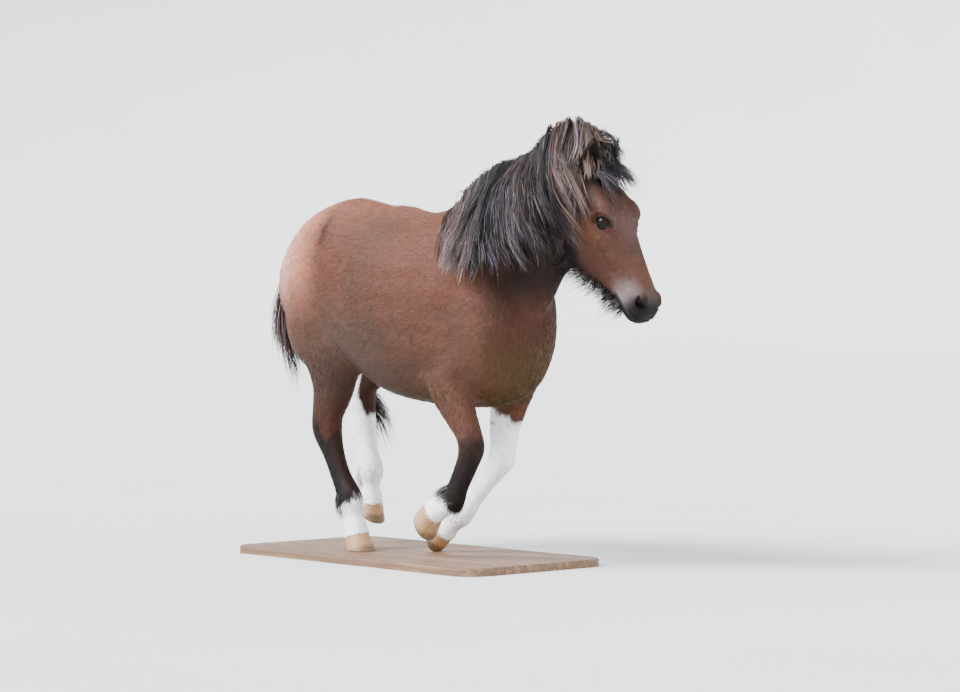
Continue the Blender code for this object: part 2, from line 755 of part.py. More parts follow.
def build_ear(name, sign, collection):
    """An ear with a hollow cup, its foot sunk in the head for the fitting cut."""
    rise, opening, across = ear_axes(sign)
    foot = on_head(EAR_BASE[0], EAR_BASE[1], sign * EAR_BASE[2]) - rise * EAR_SINK
    rings = []
    for i in range(EAR_ROWS + 1):
        u = i / EAR_ROWS
        half, deep, cup = ear_section(u)
        wall = min(EAR_WALL, half * 0.45)
        centre = foot + rise * (EAR_LENGTH + EAR_SINK) * u
        points = []
        for k in range(EAR_COLUMNS + 1):
            turn = math.pi * k / EAR_COLUMNS
            points.append(centre + across * half * math.cos(turn) - opening * deep * math.sin(turn))
        for k in range(EAR_COLUMNS - 1, 0, -1):
            turn = math.pi * k / EAR_COLUMNS
            inner = (deep - wall) * cup - wall * (1 - cup)
            points.append(
                centre + across * (half - wall) * math.cos(turn) - opening * inner * math.sin(turn)
            )
        rings.append(points)
    bm = bmesh.new()
    loft(bm, rings)
    bmesh.ops.triangulate(bm, faces=bm.faces)
    return object_from(bm, name, collection)


def eye_axes(sign):
    """The way the eye looks, then the long and the high axis of its opening."""
    down, forward, left = head_axes()
    out = (left * sign * 0.90 + forward * 0.40 + Vector((0, 0, 0.06))).normalized()
    long = (down * 0.80 + forward * 0.60).normalized()
    long = (long - out * long.dot(out)).normalized()
    return out, long, out.cross(long)


def eye_centre(sign):
    return on_head(EYE_PLACE[0], EYE_PLACE[1], sign * EYE_PLACE[2])


def build_eye(name, sign, collection, radius=EYE_RADIUS):
    bm = bmesh.new()
    segments = 2 * EYE_RINGS
    place = Matrix.Translation(eye_centre(sign))
    bmesh.ops.create_uvsphere(
        bm, u_segments=segments, v_segments=EYE_RINGS, radius=radius, matrix=place
    )
    return object_from(bm, name, collection)


def build_lids(sign, collection):
    """The lids as a shell that lies on the ball of the eye."""
    return build_eye("lids", sign, collection, EYE_RADIUS + LID_THICK)


def build_lid_opening(sign, collection):
    """The almond opening between the lids, reaching outwards from the middle of the ball."""
    out, long, high = eye_axes(sign)
    rings = []
    for reach in (0.25 * EYE_RADIUS, 2.5 * EYE_RADIUS):
        points = []
        for k in range(LID_POINTS):
            turn = 2 * math.pi * k / LID_POINTS
            rise = LID_HIGH * math.sin(turn) * abs(math.sin(turn)) ** 0.35
            along = LID_LONG * math.cos(turn)
            points.append(eye_centre(sign) + long * along + high * rise + out * reach)
        rings.append(points)
    bm = bmesh.new()
    loft(bm, rings)
    bmesh.ops.recalc_face_normals(bm, faces=bm.faces)
    return object_from(bm, "lid_opening", collection)


def build_nostril(sign, collection):
    """The hollow of one nostril, a leaning oval."""
    down, forward, left = head_axes()
    turn = Matrix.Rotation(NOSTRIL_TURN, 3, left)
    axes = (turn @ down, turn @ forward, left)
    bm = bmesh.new()
    centre = on_head(NOSTRIL_PLACE[0], NOSTRIL_PLACE[1], sign * NOSTRIL_PLACE[2])
    ellipsoid(bm, centre, axes, (NOSTRIL_HALF[1], NOSTRIL_HALF[0], NOSTRIL_HALF[2]), rings=6)
    return object_from(bm, "nostril_hollow", collection)


def build_mouth_slit(collection):
    """A thin wedge round the muzzle from one corner of the mouth to the other."""
    corner, front = Vector(MOUTH_CORNER), Vector(MOUTH_FRONT)
    down, forward, left = head_axes()
    run = front - corner
    across = (down * -run.y + forward * run.x).normalized()
    rows = []
    for k in range(-MOUTH_STEPS, MOUTH_STEPS + 1):
        turn = math.pi / 2 * k / MOUTH_STEPS
        share = math.cos(turn) ** 0.7
        place = corner + run * share * MOUTH_REACH
        centre = on_head(place.x, place.y, MOUTH_HALF_WIDTH * math.sin(turn))
        rows.append((*centre, MOUTH_GAPE / 2, MOUTH_DEPTH))
    bm = bmesh.new()
    rings = path_rings(rows, side_hint=across, power=1.0, count=4, step=1.0)
    loft(bm, rings)
    return object_from(bm, "mouth_slit", collection)


def draped(points, tree, lift):
    """Pushes every point but the first that lies in or too near the flesh out to the lift."""
    laid = points[:1]
    for point in points[1:]:
        near, normal, _, _ = tree.find_nearest(point)
        if (point - near).dot(normal) < lift:
            point = near + normal * lift
        laid.append(point)
    return laid


def lock(name, path, broad, width, thick, collection, tree=None):
    """A flat, tapered lock; path gives a point for a share of its length, broad its wide way."""
    points = [path(share) for share in LOCK_SHARES]
    if tree:
        near, out, _, _ = tree.find_nearest(points[0])
        points[0] = near - out * LOCK_SINK
        points = draped(points, tree, thick / 2 + LOCK_LIFT)
    rings = []
    for k, point in enumerate(points):
        ahead = points[min(k + 1, len(points) - 1)]
        behind = points[max(k - 1, 0)]
        along = (ahead - behind).normalized()
        side = (broad - along * broad.dot(along)).normalized()
        up = side.cross(along)
        half, deep = width * LOCK_WIDTHS[k] / 2, thick * LOCK_BULGE[k] / 2
        rings.append(ring(point, side, up, half, deep, deep, 1.0, 4))
    bm = bmesh.new()
    loft(bm, rings)
    bmesh.ops.triangulate(bm, faces=bm.faces)
    return object_from(bm, name, collection)


def crest_frame(share):
    """Centre, half sizes and upward direction of the neck at a share of the mane's run."""
    rows = smooth_rows(NECK)
    at = share * (len(rows) - 1)
    k = min(int(at), len(rows) - 2)
    row = rows[k] + (rows[k + 1] - rows[k]) * (at - k)
    angle = math.radians(row[5])
    return Vector(row[:3]), row[3], row[4], Vector((-math.sin(angle), 0.0, math.cos(angle)))


def curve_between(place, drawn_in):
    """The guide curve at a place in the row of curves, drawn in to the skin."""
    k = min(int(place), len(HAIR_CURVES) - 2)
    rows = [[Vector(point) for point in HAIR_CURVES[k + step]] for step in (0, 1)]
    curve = [a.lerp(b, place - k) for a, b in zip(*rows)]
    root = curve[0]
    low = [p.lerp(root, 0.16 * drawn_in) - Vector((0, 0, 0.02 * drawn_in)) for p in curve[2:]]
    return [root, curve[1].lerp(root, 0.75 * drawn_in), *low]


def curve_path(curve, start, end):
    """A function that runs along a guide curve, from one share of its length to another."""

    def path(u):
        at = min(start + (end - start) * u, 1.0) * (len(curve) - 1)
        k = min(int(at), len(curve) - 2)
        before, beyond = curve[max(k - 1, 0)], curve[min(k + 2, len(curve) - 1)]
        a, b, c, d, t = before, curve[k], curve[k + 1], beyond, at - k
        bend = (2 * a - 5 * b + 4 * c - d) * t**2 + (3 * b - a - 3 * c + d) * t**3
        return (2 * b + (c - a) * t + bend) / 2

    return path


def curve_locks(name, rows, dice, tree, collection):
    """Rows of overlapping locks that follow the guide curves."""
    locks = []
    for row, first, last, count, drawn_in, start, width, thick in rows:
        for k in range(count):
            place = first + (last - first) * (k + 0.5 + dice.uniform(-0.25, 0.25)) / count
            curve = curve_between(place, drawn_in)
            stray = Vector([dice.uniform(-CURVE_STRAY, CURVE_STRAY) for _ in range(3)])
            curve = [point + stray * k / 4 for k, point in enumerate(curve)]
            beside = curve_between(min(place + 0.5, len(HAIR_CURVES) - 1), drawn_in)
            broad = beside[2] - curve[2]
            wide = width * (1 + dice.uniform(-0.15, 0.15))
            path = curve_path(curve, start, 1 - dice.uniform(0, CURVE_SHORT))
            locks.append(lock(name + "_" + row, path, broad, wide, thick, collection, tree))
    return locks


def build_mane(tree, collection):
    """Locks that rise from the crest and fall over the right side, and a few to the left."""
    dice = random.Random(SEED)
    locks = curve_locks("mane", MANE_ROWS, dice, tree, collection)
    first, last, count, length, reach = LEFT_ROW
    for k in range(count):
        share = first + (last - first) * (k + 0.5) / count
        centre, half, deep, up = crest_frame(share)
        aside = Vector((0, half * math.sin(LEFT_TURN), 0))
        root = centre + up * deep * math.cos(LEFT_TURN) - aside

        def path(u, root=root):
            return root + Vector((0, reach * u**0.8, -length * u**2))

        broad = Vector((1.0, 0.0, 0.3))
        locks.append(lock("mane_left", path, broad, LEFT_WIDTH, 0.012, collection, tree))
    return locks


def build_forelock(tree, collection):
    """Locks that rise over the poll and fall forward over the brow and past the ears."""
    dice = random.Random(SEED + 10)
    locks = curve_locks("forelock", POLL_ROWS, dice, tree, collection)
    for down_face, ahead, aside, tip, rise, width, thick in FORELOCK:
        root = on_head(down_face, ahead, aside)
        reach = Vector(tip)

        def path(u, root=root, reach=reach, rise=rise):
            level = Vector((reach.x * u, reach.y * u, 0))
            return root + level + Vector((0, 0, rise * u + (reach.z - rise) * u**2))

        broad = Vector((-reach.y, reach.x, 0))
        locks.append(lock("forelock", path, broad, width, thick, collection, tree))
    return locks


def build_beard(collection):
    """Locks along the underside of the jaw, from the throat to the chin."""
    dice = random.Random(SEED + 1)
    along_jaw, _, _ = head_axes()
    locks = []
    for k in range(BEARD_COUNT):
        share = k / (BEARD_COUNT - 1)
        down_face = BEARD_RUN[0] + (BEARD_RUN[1] - BEARD_RUN[0]) * share
        ahead = BEARD_FORWARD[0] + (BEARD_FORWARD[1] - BEARD_FORWARD[0]) * share
        aside = BEARD_ASIDE * (-1 if k % 2 else 1) * (1 - 0.4 * share)
        root = on_head(down_face, ahead, aside)
        long = BEARD_LENGTH[0] + (BEARD_LENGTH[1] - BEARD_LENGTH[0]) * share
        long *= 1 + dice.uniform(-0.15, 0.15)
        lean = Vector((-0.80, dice.uniform(-0.15, 0.15), -1)).normalized() * long
        sunk = root - lean * 0.35

        def path(u, sunk=sunk, lean=lean):
            return sunk + lean * 1.35 * u

        locks.append(lock("beard", path, along_jaw, BEARD_WIDTH, BEARD_THICK, collection))
    return locks


def along_path(table, share):
    """Centre and spread of a fall of hair at a share of its length."""
    rows = smooth_rows(table, TAIL_STEP)
    at = min(max(share, 0.0), 1.0) * (len(rows) - 1)
    k = min(int(at), len(rows) - 2)
    row = rows[k] + (rows[k + 1] - rows[k]) * (at - k)
    return Vector(row[:3]), row[3]


def build_tail(collection):
    """The dock and the locks that fall from it, swung to the left."""
    dice = random.Random(SEED + 2)
    tail = plain_form("tail", DOCK, collection)
    locks = []
    for k in range(TAIL_LOCKS):
        share = k / (TAIL_LOCKS - 1)
        turn = GOLDEN_TURN * k
        start = 0.04 + 0.30 * share
        end = 0.86 + 0.14 * dice.random()
        fall = TAIL_NEAR if k % 3 == 0 else TAIL_FALL
        out = Vector((math.cos(turn), math.sin(turn), 0.0))

        def path(u, start=start, end=end, out=out, fall=fall):
            place, spread = along_path(fall, start + (end - start) * u)
            return place + out * spread * min(1.0, 0.10 + 1.6 * u)

        width = TAIL_WIDTH * (1 + dice.uniform(-0.2, 0.2))
        broad = Vector((-out.y, out.x, 0.0))
        locks.append(lock("tail_lock", path, broad, width, TAIL_THICK, collection))
    solid_boolean(tail, "UNION", locks)
    return tail


def add_feather(leg, tree, collection):
    """Short locks behind the fetlock."""
    rows = LEGS[leg.name]
    station, below = Vector(rows[FETLOCK_STATION][:3]), Vector(rows[FETLOCK_STATION + 1][:3])
    above = Vector(rows[FETLOCK_STATION - 1][:3])
    along = (below - above).normalized()
    back = along.cross(Vector((0, 1, 0))).normalized()
    back = -back if back.x > 0 else back
    deep = rows[FETLOCK_STATION][4]
    locks = []
    for k in range(FEATHER_COUNT):
        lean = (k / (FEATHER_COUNT - 1) - 0.5) * 1.5
        out = (back + Vector((0, lean, 0))).normalized()
        root = station + out * deep * 0.5

        def path(u, root=root, out=out):
            return root + out * (0.55 * deep + FEATHER_REACH * u) + along * FEATHER_LENGTH * u**1.2

        broad = along.cross(out)
        locks.append(lock("feather", path, broad, FEATHER_WIDTH, FEATHER_THICK, collection, tree))
    solid_boolean(leg, "UNION", locks)
    cut_half(leg, Vector(rows[-1][:3]), foot_axis(rows))
    keep_largest(leg)


def plain_form(name, rows, collection, side_hint=Vector((0, 1, 0))):
    bm = bmesh.new()
    loft(bm, path_rings(rows, side_hint=side_hint, power=1.0, count=12, step=0.03))
    return object_from(bm, name, collection)


def build_hair(forms, neighbours, collection):
    """Merges hair forms into one solid and cuts it clear of the neighbouring nodes."""
    hair = forms[0]
    if len(forms) > 1:
        solid_boolean(hair, "UNION", forms[1:])
    cutters = [inflated(n, GAP, "fit_" + n.name, collection) for n in neighbours]
    solid_boolean(hair, "DIFFERENCE", cutters)
    return hair


def finish_head(head, neighbours, tree, collection):
    """Adds the lids and the hair, hollows the nostrils and opens the mouth."""
    hair = build_hair(build_forelock(tree, collection), neighbours, collection)
    cut_half(hair, HAIR_CUT[0], -HAIR_CUT[1])
    beard = build_hair(build_beard(collection), neighbours, collection)
    lids = [build_lids(sign, collection) for sign in (-1, 1)]
    solid_boolean(head, "UNION", [hair, beard, *lids])
    hollows = [build_nostril(sign, collection) for sign in (-1, 1)]
    hollows.append(build_mouth_slit(collection))
    hollows += [build_eye("socket", sign, collection, EYE_RADIUS + GAP) for sign in (-1, 1)]
    hollows += [build_lid_opening(sign, collection) for sign in (-1, 1)]
    solid_boolean(head, "DIFFERENCE", hollows)
    keep_largest(head)


def fit_clear(obj, neighbours, collection, gap=GAP):
    """Cuts an object clear of its neighbours by the gap."""
    cutters = [inflated(n, gap, "fit_" + n.name, collection) for n in neighbours]
    solid_boolean(obj, "DIFFERENCE", cutters)
    keep_largest(obj)


def build_base(collection):
    """The flat display base under the raised and the standing feet."""
    half = Vector((BASE_LENGTH / 2, BASE_WIDTH / 2, 0))
    low = (-half.x, -half.y, GROUND - BASE_THICK)
    base = box("stand_base", collection, low, (half.x, half.y, GROUND))
    bm = bmesh.new()
    bm.from_mesh(base.data)
    upright = [e for e in bm.edges if abs(e.verts[0].co.z - e.verts[1].co.z) > BASE_THICK / 2]
    bmesh.ops.bevel(
        bm, geom=upright, offset=BASE_CORNER, segments=6, profile=0.5, affect="EDGES", material=-1
    )
    rim = [e for e in bm.edges if min(v.co.z for v in e.verts) > GROUND - BASE_EDGE / 2]
    bmesh.ops.bevel(
        bm, geom=rim, offset=BASE_EDGE, segments=2, profile=0.5, affect="EDGES", material=-1
    )
    bmesh.ops.triangulate(bm, faces=bm.faces)
    bm.to_mesh(base.data)
    bm.free()
    return base


def tidy_mesh(obj, mat):
    """Sets the material, lifts the model onto its origin and shades it smooth."""
    obj.data.materials.clear()
    obj.data.materials.append(mat)
    obj.data.transform(Matrix.Translation((0, 0, BASE_THICK - GROUND)))
    for face in obj.data.polygons:
        face.material_index = 0
    obj.data.shade_smooth()
    obj.data.set_sharp_from_angle(angle=math.radians(50))


def build_pony():
    clear_scene()
    pony = make_collection("shetland_pony")
    coat = material("bay_coat", (0.30, 0.13, 0.08), 0.75)
    dark = material("dark_hair", (0.035, 0.028, 0.030), 0.65)
    horn = material("hoof_horn", (0.42, 0.27, 0.16), 0.5)
    eye = material("eye_dark", (0.015, 0.01, 0.008), 0.1)
    wood = material("stand_wood", (0.42, 0.33, 0.24), 0.6)
    flesh = build_flesh(pony)
    tree = BVHTree.FromObject(flesh, bpy.context.evaluated_depsgraph_get())
    parts = part_flesh(flesh, pony)
    drop(flesh)
    ears = []
    for side, sign in (("right", -1), ("left", 1)):
        ears.append(build_ear("ear_" + side, sign, pony))
        parts["eye_" + side] = build_eye("eye_" + side, sign, pony)
    bare_head = copy_of(parts["head"], "bare_head", pony)
    mane = build_hair(build_mane(tree, pony), [parts["torso"], bare_head, *ears], pony)
    cut_half(mane, HAIR_CUT[0], HAIR_CUT[1])
    finish_head(parts["head"], [parts["neck"], *ears], tree, pony)
    solid_boolean(parts["neck"], "UNION", [mane])
    keep_largest(parts["neck"])
    for ear in ears:
        fit_clear(ear, [bare_head], pony)
        parts[ear.name] = ear
    drop(bare_head)
    parts["tail"] = build_tail(pony)
    fit_clear(parts["tail"], [parts["torso"]], pony)
    for name in LEGS:
        add_feather(parts[name], tree, pony)
    for name in LEGS:
        parts[name.replace("leg", "hoof")] = build_hoof(name, pony)
    parts["stand_base"] = build_base(pony)
    for name, obj in parts.items():
        obj.name = name
        if name.startswith("hoof"):
            tidy_mesh(obj, horn)
        elif name.startswith("eye"):
            tidy_mesh(obj, eye)
        elif name.startswith("stand"):
            tidy_mesh(obj, wood)
        elif name == "tail":
            tidy_mesh(obj, dark)
        else:
            tidy_mesh(obj, coat)


build_pony()
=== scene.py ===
import json
import math

import bmesh
import bpy
import numpy as np
from mathutils import Matrix, Vector
from mathutils.bvhtree import BVHTree

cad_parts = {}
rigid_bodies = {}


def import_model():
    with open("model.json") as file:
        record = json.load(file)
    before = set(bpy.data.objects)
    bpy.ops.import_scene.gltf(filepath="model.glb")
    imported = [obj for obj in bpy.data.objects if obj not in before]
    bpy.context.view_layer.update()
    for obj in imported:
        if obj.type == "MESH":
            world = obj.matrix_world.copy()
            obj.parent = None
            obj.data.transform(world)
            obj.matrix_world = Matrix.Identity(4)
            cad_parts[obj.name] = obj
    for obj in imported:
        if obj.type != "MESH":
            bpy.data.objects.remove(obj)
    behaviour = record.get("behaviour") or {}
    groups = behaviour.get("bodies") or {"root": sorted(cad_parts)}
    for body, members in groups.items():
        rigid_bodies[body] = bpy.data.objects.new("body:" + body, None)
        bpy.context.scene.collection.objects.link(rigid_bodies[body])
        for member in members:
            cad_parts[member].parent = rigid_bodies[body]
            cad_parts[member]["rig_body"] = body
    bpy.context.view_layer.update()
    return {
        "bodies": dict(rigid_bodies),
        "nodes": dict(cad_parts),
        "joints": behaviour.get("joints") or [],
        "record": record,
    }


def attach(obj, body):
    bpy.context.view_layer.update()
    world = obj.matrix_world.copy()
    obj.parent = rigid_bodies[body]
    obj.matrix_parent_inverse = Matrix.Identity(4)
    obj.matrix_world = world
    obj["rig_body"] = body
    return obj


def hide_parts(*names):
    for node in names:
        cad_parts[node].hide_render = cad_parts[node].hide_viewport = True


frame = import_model()

# Body frame: X towards the head, Y to the pony's left, Z up; LIFT puts it on the display base
GAP = 0.0003
BASE_THICK = 0.02
GROUND = 0.014
LIFT = BASE_THICK - GROUND
RING_POINTS = 28
STATION_STEP = 0.014
SEED = 11

# Trunk stations: x, lowest z, highest z, half width, z of the widest place
TRUNK = (
    (-0.448, 0.690, 0.765, 0.050, 0.728),
    (-0.430, 0.635, 0.812, 0.105, 0.720),
    (-0.385, 0.575, 0.868, 0.150, 0.710),
    (-0.305, 0.535, 0.924, 0.180, 0.725),
    (-0.200, 0.505, 0.950, 0.187, 0.730),
    (-0.100, 0.458, 0.938, 0.200, 0.670),
    (0.000, 0.420, 0.914, 0.213, 0.635),
    (0.100, 0.404, 0.903, 0.210, 0.620),
    (0.190, 0.398, 0.912, 0.190, 0.615),
    (0.270, 0.397, 0.918, 0.165, 0.610),
    (0.345, 0.406, 0.880, 0.147, 0.600),
    (0.405, 0.435, 0.822, 0.128, 0.595),
    (0.445, 0.480, 0.748, 0.095, 0.595),
    (0.466, 0.530, 0.665, 0.050, 0.595),
)

# Neck stations: x, y, z of the centre, half width, half depth, lean of the ring in degrees
NECK = (
    (0.255, 0.000, 0.720, 0.120, 0.190, 42.0),
    (0.335, 0.004, 0.782, 0.110, 0.198, 45.0),
    (0.405, 0.016, 0.840, 0.090, 0.170, 46.0),
    (0.470, 0.032, 0.888, 0.074, 0.140, 46.0),
    (0.530, 0.048, 0.922, 0.066, 0.114, 42.0),
    (0.585, 0.061, 0.935, 0.060, 0.088, 36.0),
)

# The head's own frame: the top of the poll, the yaw to the left and the slope of the face
POLL = Vector((0.617, 0.068, 1.008))
HEAD_YAW = math.radians(9.0)
FACE_SLOPE = math.radians(59.0)

# Head stations: distance down the face, how far the face stands forward of its line,
# depth from face to jaw, half width, share of the depth in front of the widest place
HEAD = (
    (-0.014, -0.046, 0.060, 0.040, 0.50),
    (0.008, -0.012, 0.120, 0.060, 0.46),
    (0.045, 0.006, 0.170, 0.074, 0.40),
    (0.090, 0.012, 0.194, 0.079, 0.36),
    (0.135, 0.010, 0.198, 0.077, 0.36),
    (0.185, 0.003, 0.187, 0.067, 0.38),
    (0.230, -0.002, 0.156, 0.055, 0.42),
    (0.275, -0.007, 0.125, 0.045, 0.45),
    (0.315, -0.012, 0.106, 0.042, 0.48),
    (0.350, -0.017, 0.098, 0.044, 0.48),
    (0.378, -0.024, 0.088, 0.043, 0.50),
    (0.397, -0.034, 0.070, 0.035, 0.52),
    (0.407, -0.046, 0.044, 0.022, 0.52),
)

# Rounded swellings on the head: down the face, forward, to the side, and three half sizes
HEAD_SWELLINGS = (
    ("brow", 0.130, -0.006, 0.054, 0.034, 0.022, 0.028),
    ("orbit", 0.152, -0.024, 0.046, 0.037, 0.031, 0.022),
    ("cheek", 0.160, -0.112, 0.045, 0.060, 0.062, 0.026),
    ("crest", 0.225, -0.048, 0.040, 0.048, 0.012, 0.016),
    ("nostril", 0.364, -0.042, 0.025, 0.026, 0.024, 0.020),
    ("lip", 0.374, -0.072, 0.022, 0.028, 0.024, 0.021),
)
CHIN = (0.374, -0.094, 0.024, 0.022, 0.027)

# Eyes: place on the head, size of the ball, and the rolled rims of the lids round it
EYE_PLACE = (0.156, -0.025, 0.0550)
EYE_RADIUS = 0.0190
LID_THICK = 0.0028
LID_LONG = 0.0172

# Nostril: place and half sizes of the hollow, and its turn about the side of the head
NOSTRIL_PLACE = (0.373, -0.045, 0.0455)
NOSTRIL_TURN = math.radians(14.0)

# Mouth: the slit between the lips runs from its corners round the front of the muzzle
MOUTH_CORNER = (0.318, -0.094)
MOUTH_FRONT = (0.420, -0.070)

# Ears: place of the base on the head, then the ear's own sizes
EAR_BASE = (0.022, -0.010, 0.048)
EAR_LEANS = {-1: Vector((0.42, 0.02, 0.90)), 1: Vector((0.08, 0.02, 0.95))}
EAR_OUTWARD = 0.20
EAR_LENGTH = 0.094
EAR_SINK = 0.022
EAR_HALF_WIDTH = 0.0270
EAR_CUP = 0.0200

# Legs: name, then stations of x, y, z, half width and half depth from the trunk to the coronet
LEGS = {
    "leg_fore_right": (
        (0.330, -0.080, 0.640, 0.060, 0.105),
        (0.275, -0.098, 0.530, 0.058, 0.088),
        (0.262, -0.108, 0.460, 0.046, 0.066),
        (0.300, -0.106, 0.385, 0.036, 0.048),
        (0.328, -0.102, 0.332, 0.031, 0.037),
        (0.334, -0.100, 0.300, 0.032, 0.038),
        (0.318, -0.099, 0.262, 0.024, 0.031),
        (0.288, -0.097, 0.214, 0.022, 0.029),
        (0.258, -0.095, 0.168, 0.026, 0.033),
        (0.224, -0.094, 0.149, 0.025, 0.029),
        (0.187, -0.093, 0.136, 0.032, 0.035),
    ),
    "leg_fore_left": (
        (0.340, 0.080, 0.640, 0.060, 0.105),
        (0.300, 0.098, 0.530, 0.058, 0.088),
        (0.262, 0.106, 0.445, 0.046, 0.064),
        (0.240, 0.104, 0.360, 0.037, 0.048),
        (0.232, 0.102, 0.300, 0.032, 0.038),
        (0.228, 0.100, 0.262, 0.033, 0.039),
        (0.205, 0.090, 0.225, 0.024, 0.031),
        (0.160, 0.072, 0.168, 0.022, 0.029),
        (0.120, 0.056, 0.118, 0.027, 0.034),
        (0.093, 0.050, 0.093, 0.026, 0.030),
        (0.066, 0.046, 0.072, 0.032, 0.035),
    ),
    "leg_hind_right": (
        (-0.262, -0.085, 0.740, 0.075, 0.150),
        (-0.232, -0.105, 0.620, 0.074, 0.154),
        (-0.200, -0.112, 0.530, 0.059, 0.119),
        (-0.206, -0.108, 0.445, 0.046, 0.074),
        (-0.234, -0.103, 0.376, 0.035, 0.052),
        (-0.240, -0.100, 0.330, 0.035, 0.048),
        (-0.217, -0.098, 0.270, 0.026, 0.035),
        (-0.190, -0.096, 0.211, 0.024, 0.031),
        (-0.155, -0.093, 0.151, 0.028, 0.035),
        (-0.141, -0.092, 0.101, 0.027, 0.031),
        (-0.128, -0.091, 0.0555, 0.033, 0.036),
    ),
    "leg_hind_left": (
        (-0.265, 0.085, 0.740, 0.075, 0.150),
        (-0.252, 0.105, 0.630, 0.074, 0.150),
        (-0.252, 0.112, 0.560, 0.058, 0.112),
        (-0.292, 0.108, 0.500, 0.045, 0.070),
        (-0.334, 0.103, 0.452, 0.035, 0.052),
        (-0.346, 0.101, 0.406, 0.035, 0.047),
        (-0.334, 0.100, 0.335, 0.027, 0.038),
        (-0.318, 0.100, 0.274, 0.024, 0.032),
        (-0.302, 0.100, 0.212, 0.028, 0.035),
        (-0.298, 0.100, 0.166, 0.026, 0.030),
        (-0.297, 0.100, 0.122, 0.032, 0.035),
    ),
}

# Hooves: the way the toe wall runs and the way the toe points along the sole
HOOF_WALL = {
    "leg_fore_right": (Vector((-0.55, 0.0, -0.83)), Vector((0.45, 0.0, -0.89))),
    "leg_fore_left": (Vector((-0.78, -0.08, -0.62)), Vector((0.10, 0.0, -0.99))),
    "leg_hind_right": (Vector((0.50, 0.0, -0.866)), Vector((1.0, 0.0, 0.0))),
    "leg_hind_left": (Vector((0.05, 0.0, -1.0)), Vector((0.85, 0.0, -0.53))),
}
HOOF_LENGTH = 0.058
HOOF_TOP = (0.0295, 0.0325)
HOOF_SOLE = (0.0360, 0.0400)
CORONET_SPARE = 0.030

# Tail: the fall of the hair, as x, y, z and the spread of the locks
TAIL_ASIDE = 0.264
TAIL_FALL = (
    (-0.430, 0.000, 0.806, 0.010),
    (-0.492, 0.008, 0.760, 0.022),
    (-0.540, 0.036, 0.660, 0.038),
    (-0.548, 0.090, 0.540, 0.052),
    (-0.478, 0.190, 0.420, 0.058),
    (-0.416, 0.232, 0.330, 0.056),
    (-0.390, 0.238, 0.262, 0.040),
)
TAIL_NEAR = (
    (-0.430, 0.000, 0.806, 0.010),
    (-0.495, 0.000, 0.766, 0.018),
    (-0.546, 0.002, 0.680, 0.024),
    (-0.560, 0.010, 0.580, 0.026),
    (-0.552, 0.024, 0.500, 0.024),
    (-0.545, 0.040, 0.430, 0.020),
)

# Skin: voxel of the body, rounds of smoothing, and how far it lies inside the solids
SKIN_VOXEL = 0.0062
SKIN_RELAX = 8
FINE_RADIUS = 0.045

# Look of the coat, as sRGB 0..255; some of these are painted light and shade
BAY = (74, 47, 37)
# painted shade: a darker tone for the lower barrel
BARREL_SHADE = (54, 41, 33)
# painted sheen: a pale tone for the rump and the top of the croup
RUMP_SHEEN = (176, 118, 98)
FACE = (61, 42, 35)
HAIR_BROWN = (78, 58, 56)
HAIR_PALE = (140, 122, 130)
BAY_DARK = (22, 15, 12)
CHESTNUT = (90, 50, 38)
# painted reflection: green-yellow light from grass
GRASS_REFLECTION = (54, 46, 16)
# painted sheen: a lilac-grey highlight on the rump and down the bridge of the nose
LILAC_SHEEN = (190, 162, 164)
SMOKE = (14, 12, 16)
BROWN_BLACK = (28, 19, 16)
WHITE = (247, 247, 250)
MEALY = (100, 88, 89)
LIP = (6, 6, 8)
GINGER = (98, 62, 42)
# painted sheen: blue-grey gloss on black hair
STEEL_SHEEN = (92, 90, 105)
BLOND = (150, 124, 108)

def smooth_rows(rows, step=STATION_STEP):
    """Fills in stations so that they follow one smooth curve through the given rows."""
    table = np.array(rows, dtype=float)
    padded = np.vstack([2 * table[0] - table[1], table, 2 * table[-1] - table[-2]])
    filled = []
    for i in range(1, len(padded) - 2):
        before, start, end, after = padded[i - 1 : i + 3]
        count = max(1, math.ceil(np.linalg.norm((end - start)[:3]) / step))
        for k in range(count):
            t = k / count
            filled.append(
                0.5
                * (
                    2 * start
                    + (end - before) * t
                    + (2 * before - 5 * start + 4 * end - after) * t**2
                    + (3 * start - before - 3 * end + after) * t**3
                )
            )
    filled.append(padded[-2])
    return filled


def ring(centre, side, up, half_side, half_up, half_down, power=0.9, count=RING_POINTS):
    """A closed ring of points, rounder as the power nears 1 and squarer below it."""
    points = []
    for k in range(count):
        turn = 2 * math.pi * k / count
        s, c = math.sin(turn), math.cos(turn)
        across = half_side * math.copysign(abs(s) ** power, s)
        reach = half_up if c > 0 else half_down
        along = reach * math.copysign(abs(c) ** power, c)
        points.append(Vector(centre) + Vector(side) * across + Vector(up) * along)
    return points


def loft(bm, rings):
    """Adds a closed skin over the rings to the bmesh."""
    loops = [[bm.verts.new(p) for p in points] for points in rings]
    count = len(loops[0])
    for lower, upper in zip(loops, loops[1:]):
        for k in range(count):
            j = (k + 1) % count
            bm.faces.new((lower[k], lower[j], upper[j], upper[k]))
    bm.faces.new(list(reversed(loops[0])))
    bm.faces.new(loops[-1])


def path_rings(rows, side_hint=Vector((0, 1, 0)), power=0.95, count=RING_POINTS, step=STATION_STEP):
    """Rings square to a path given as x, y, z, half width and half depth."""
    rows = smooth_rows(rows, step)
    rings = []
    for i, row in enumerate(rows):
        ahead = rows[min(i + 1, len(rows) - 1)][:3]
        behind = rows[max(i - 1, 0)][:3]
        along = Vector(ahead - behind).normalized()
        side = (side_hint - along * side_hint.dot(along)).normalized()
        up = along.cross(side)
        rings.append(ring(row[:3], side, up, row[3], row[4], row[4], power, count))
    return rings


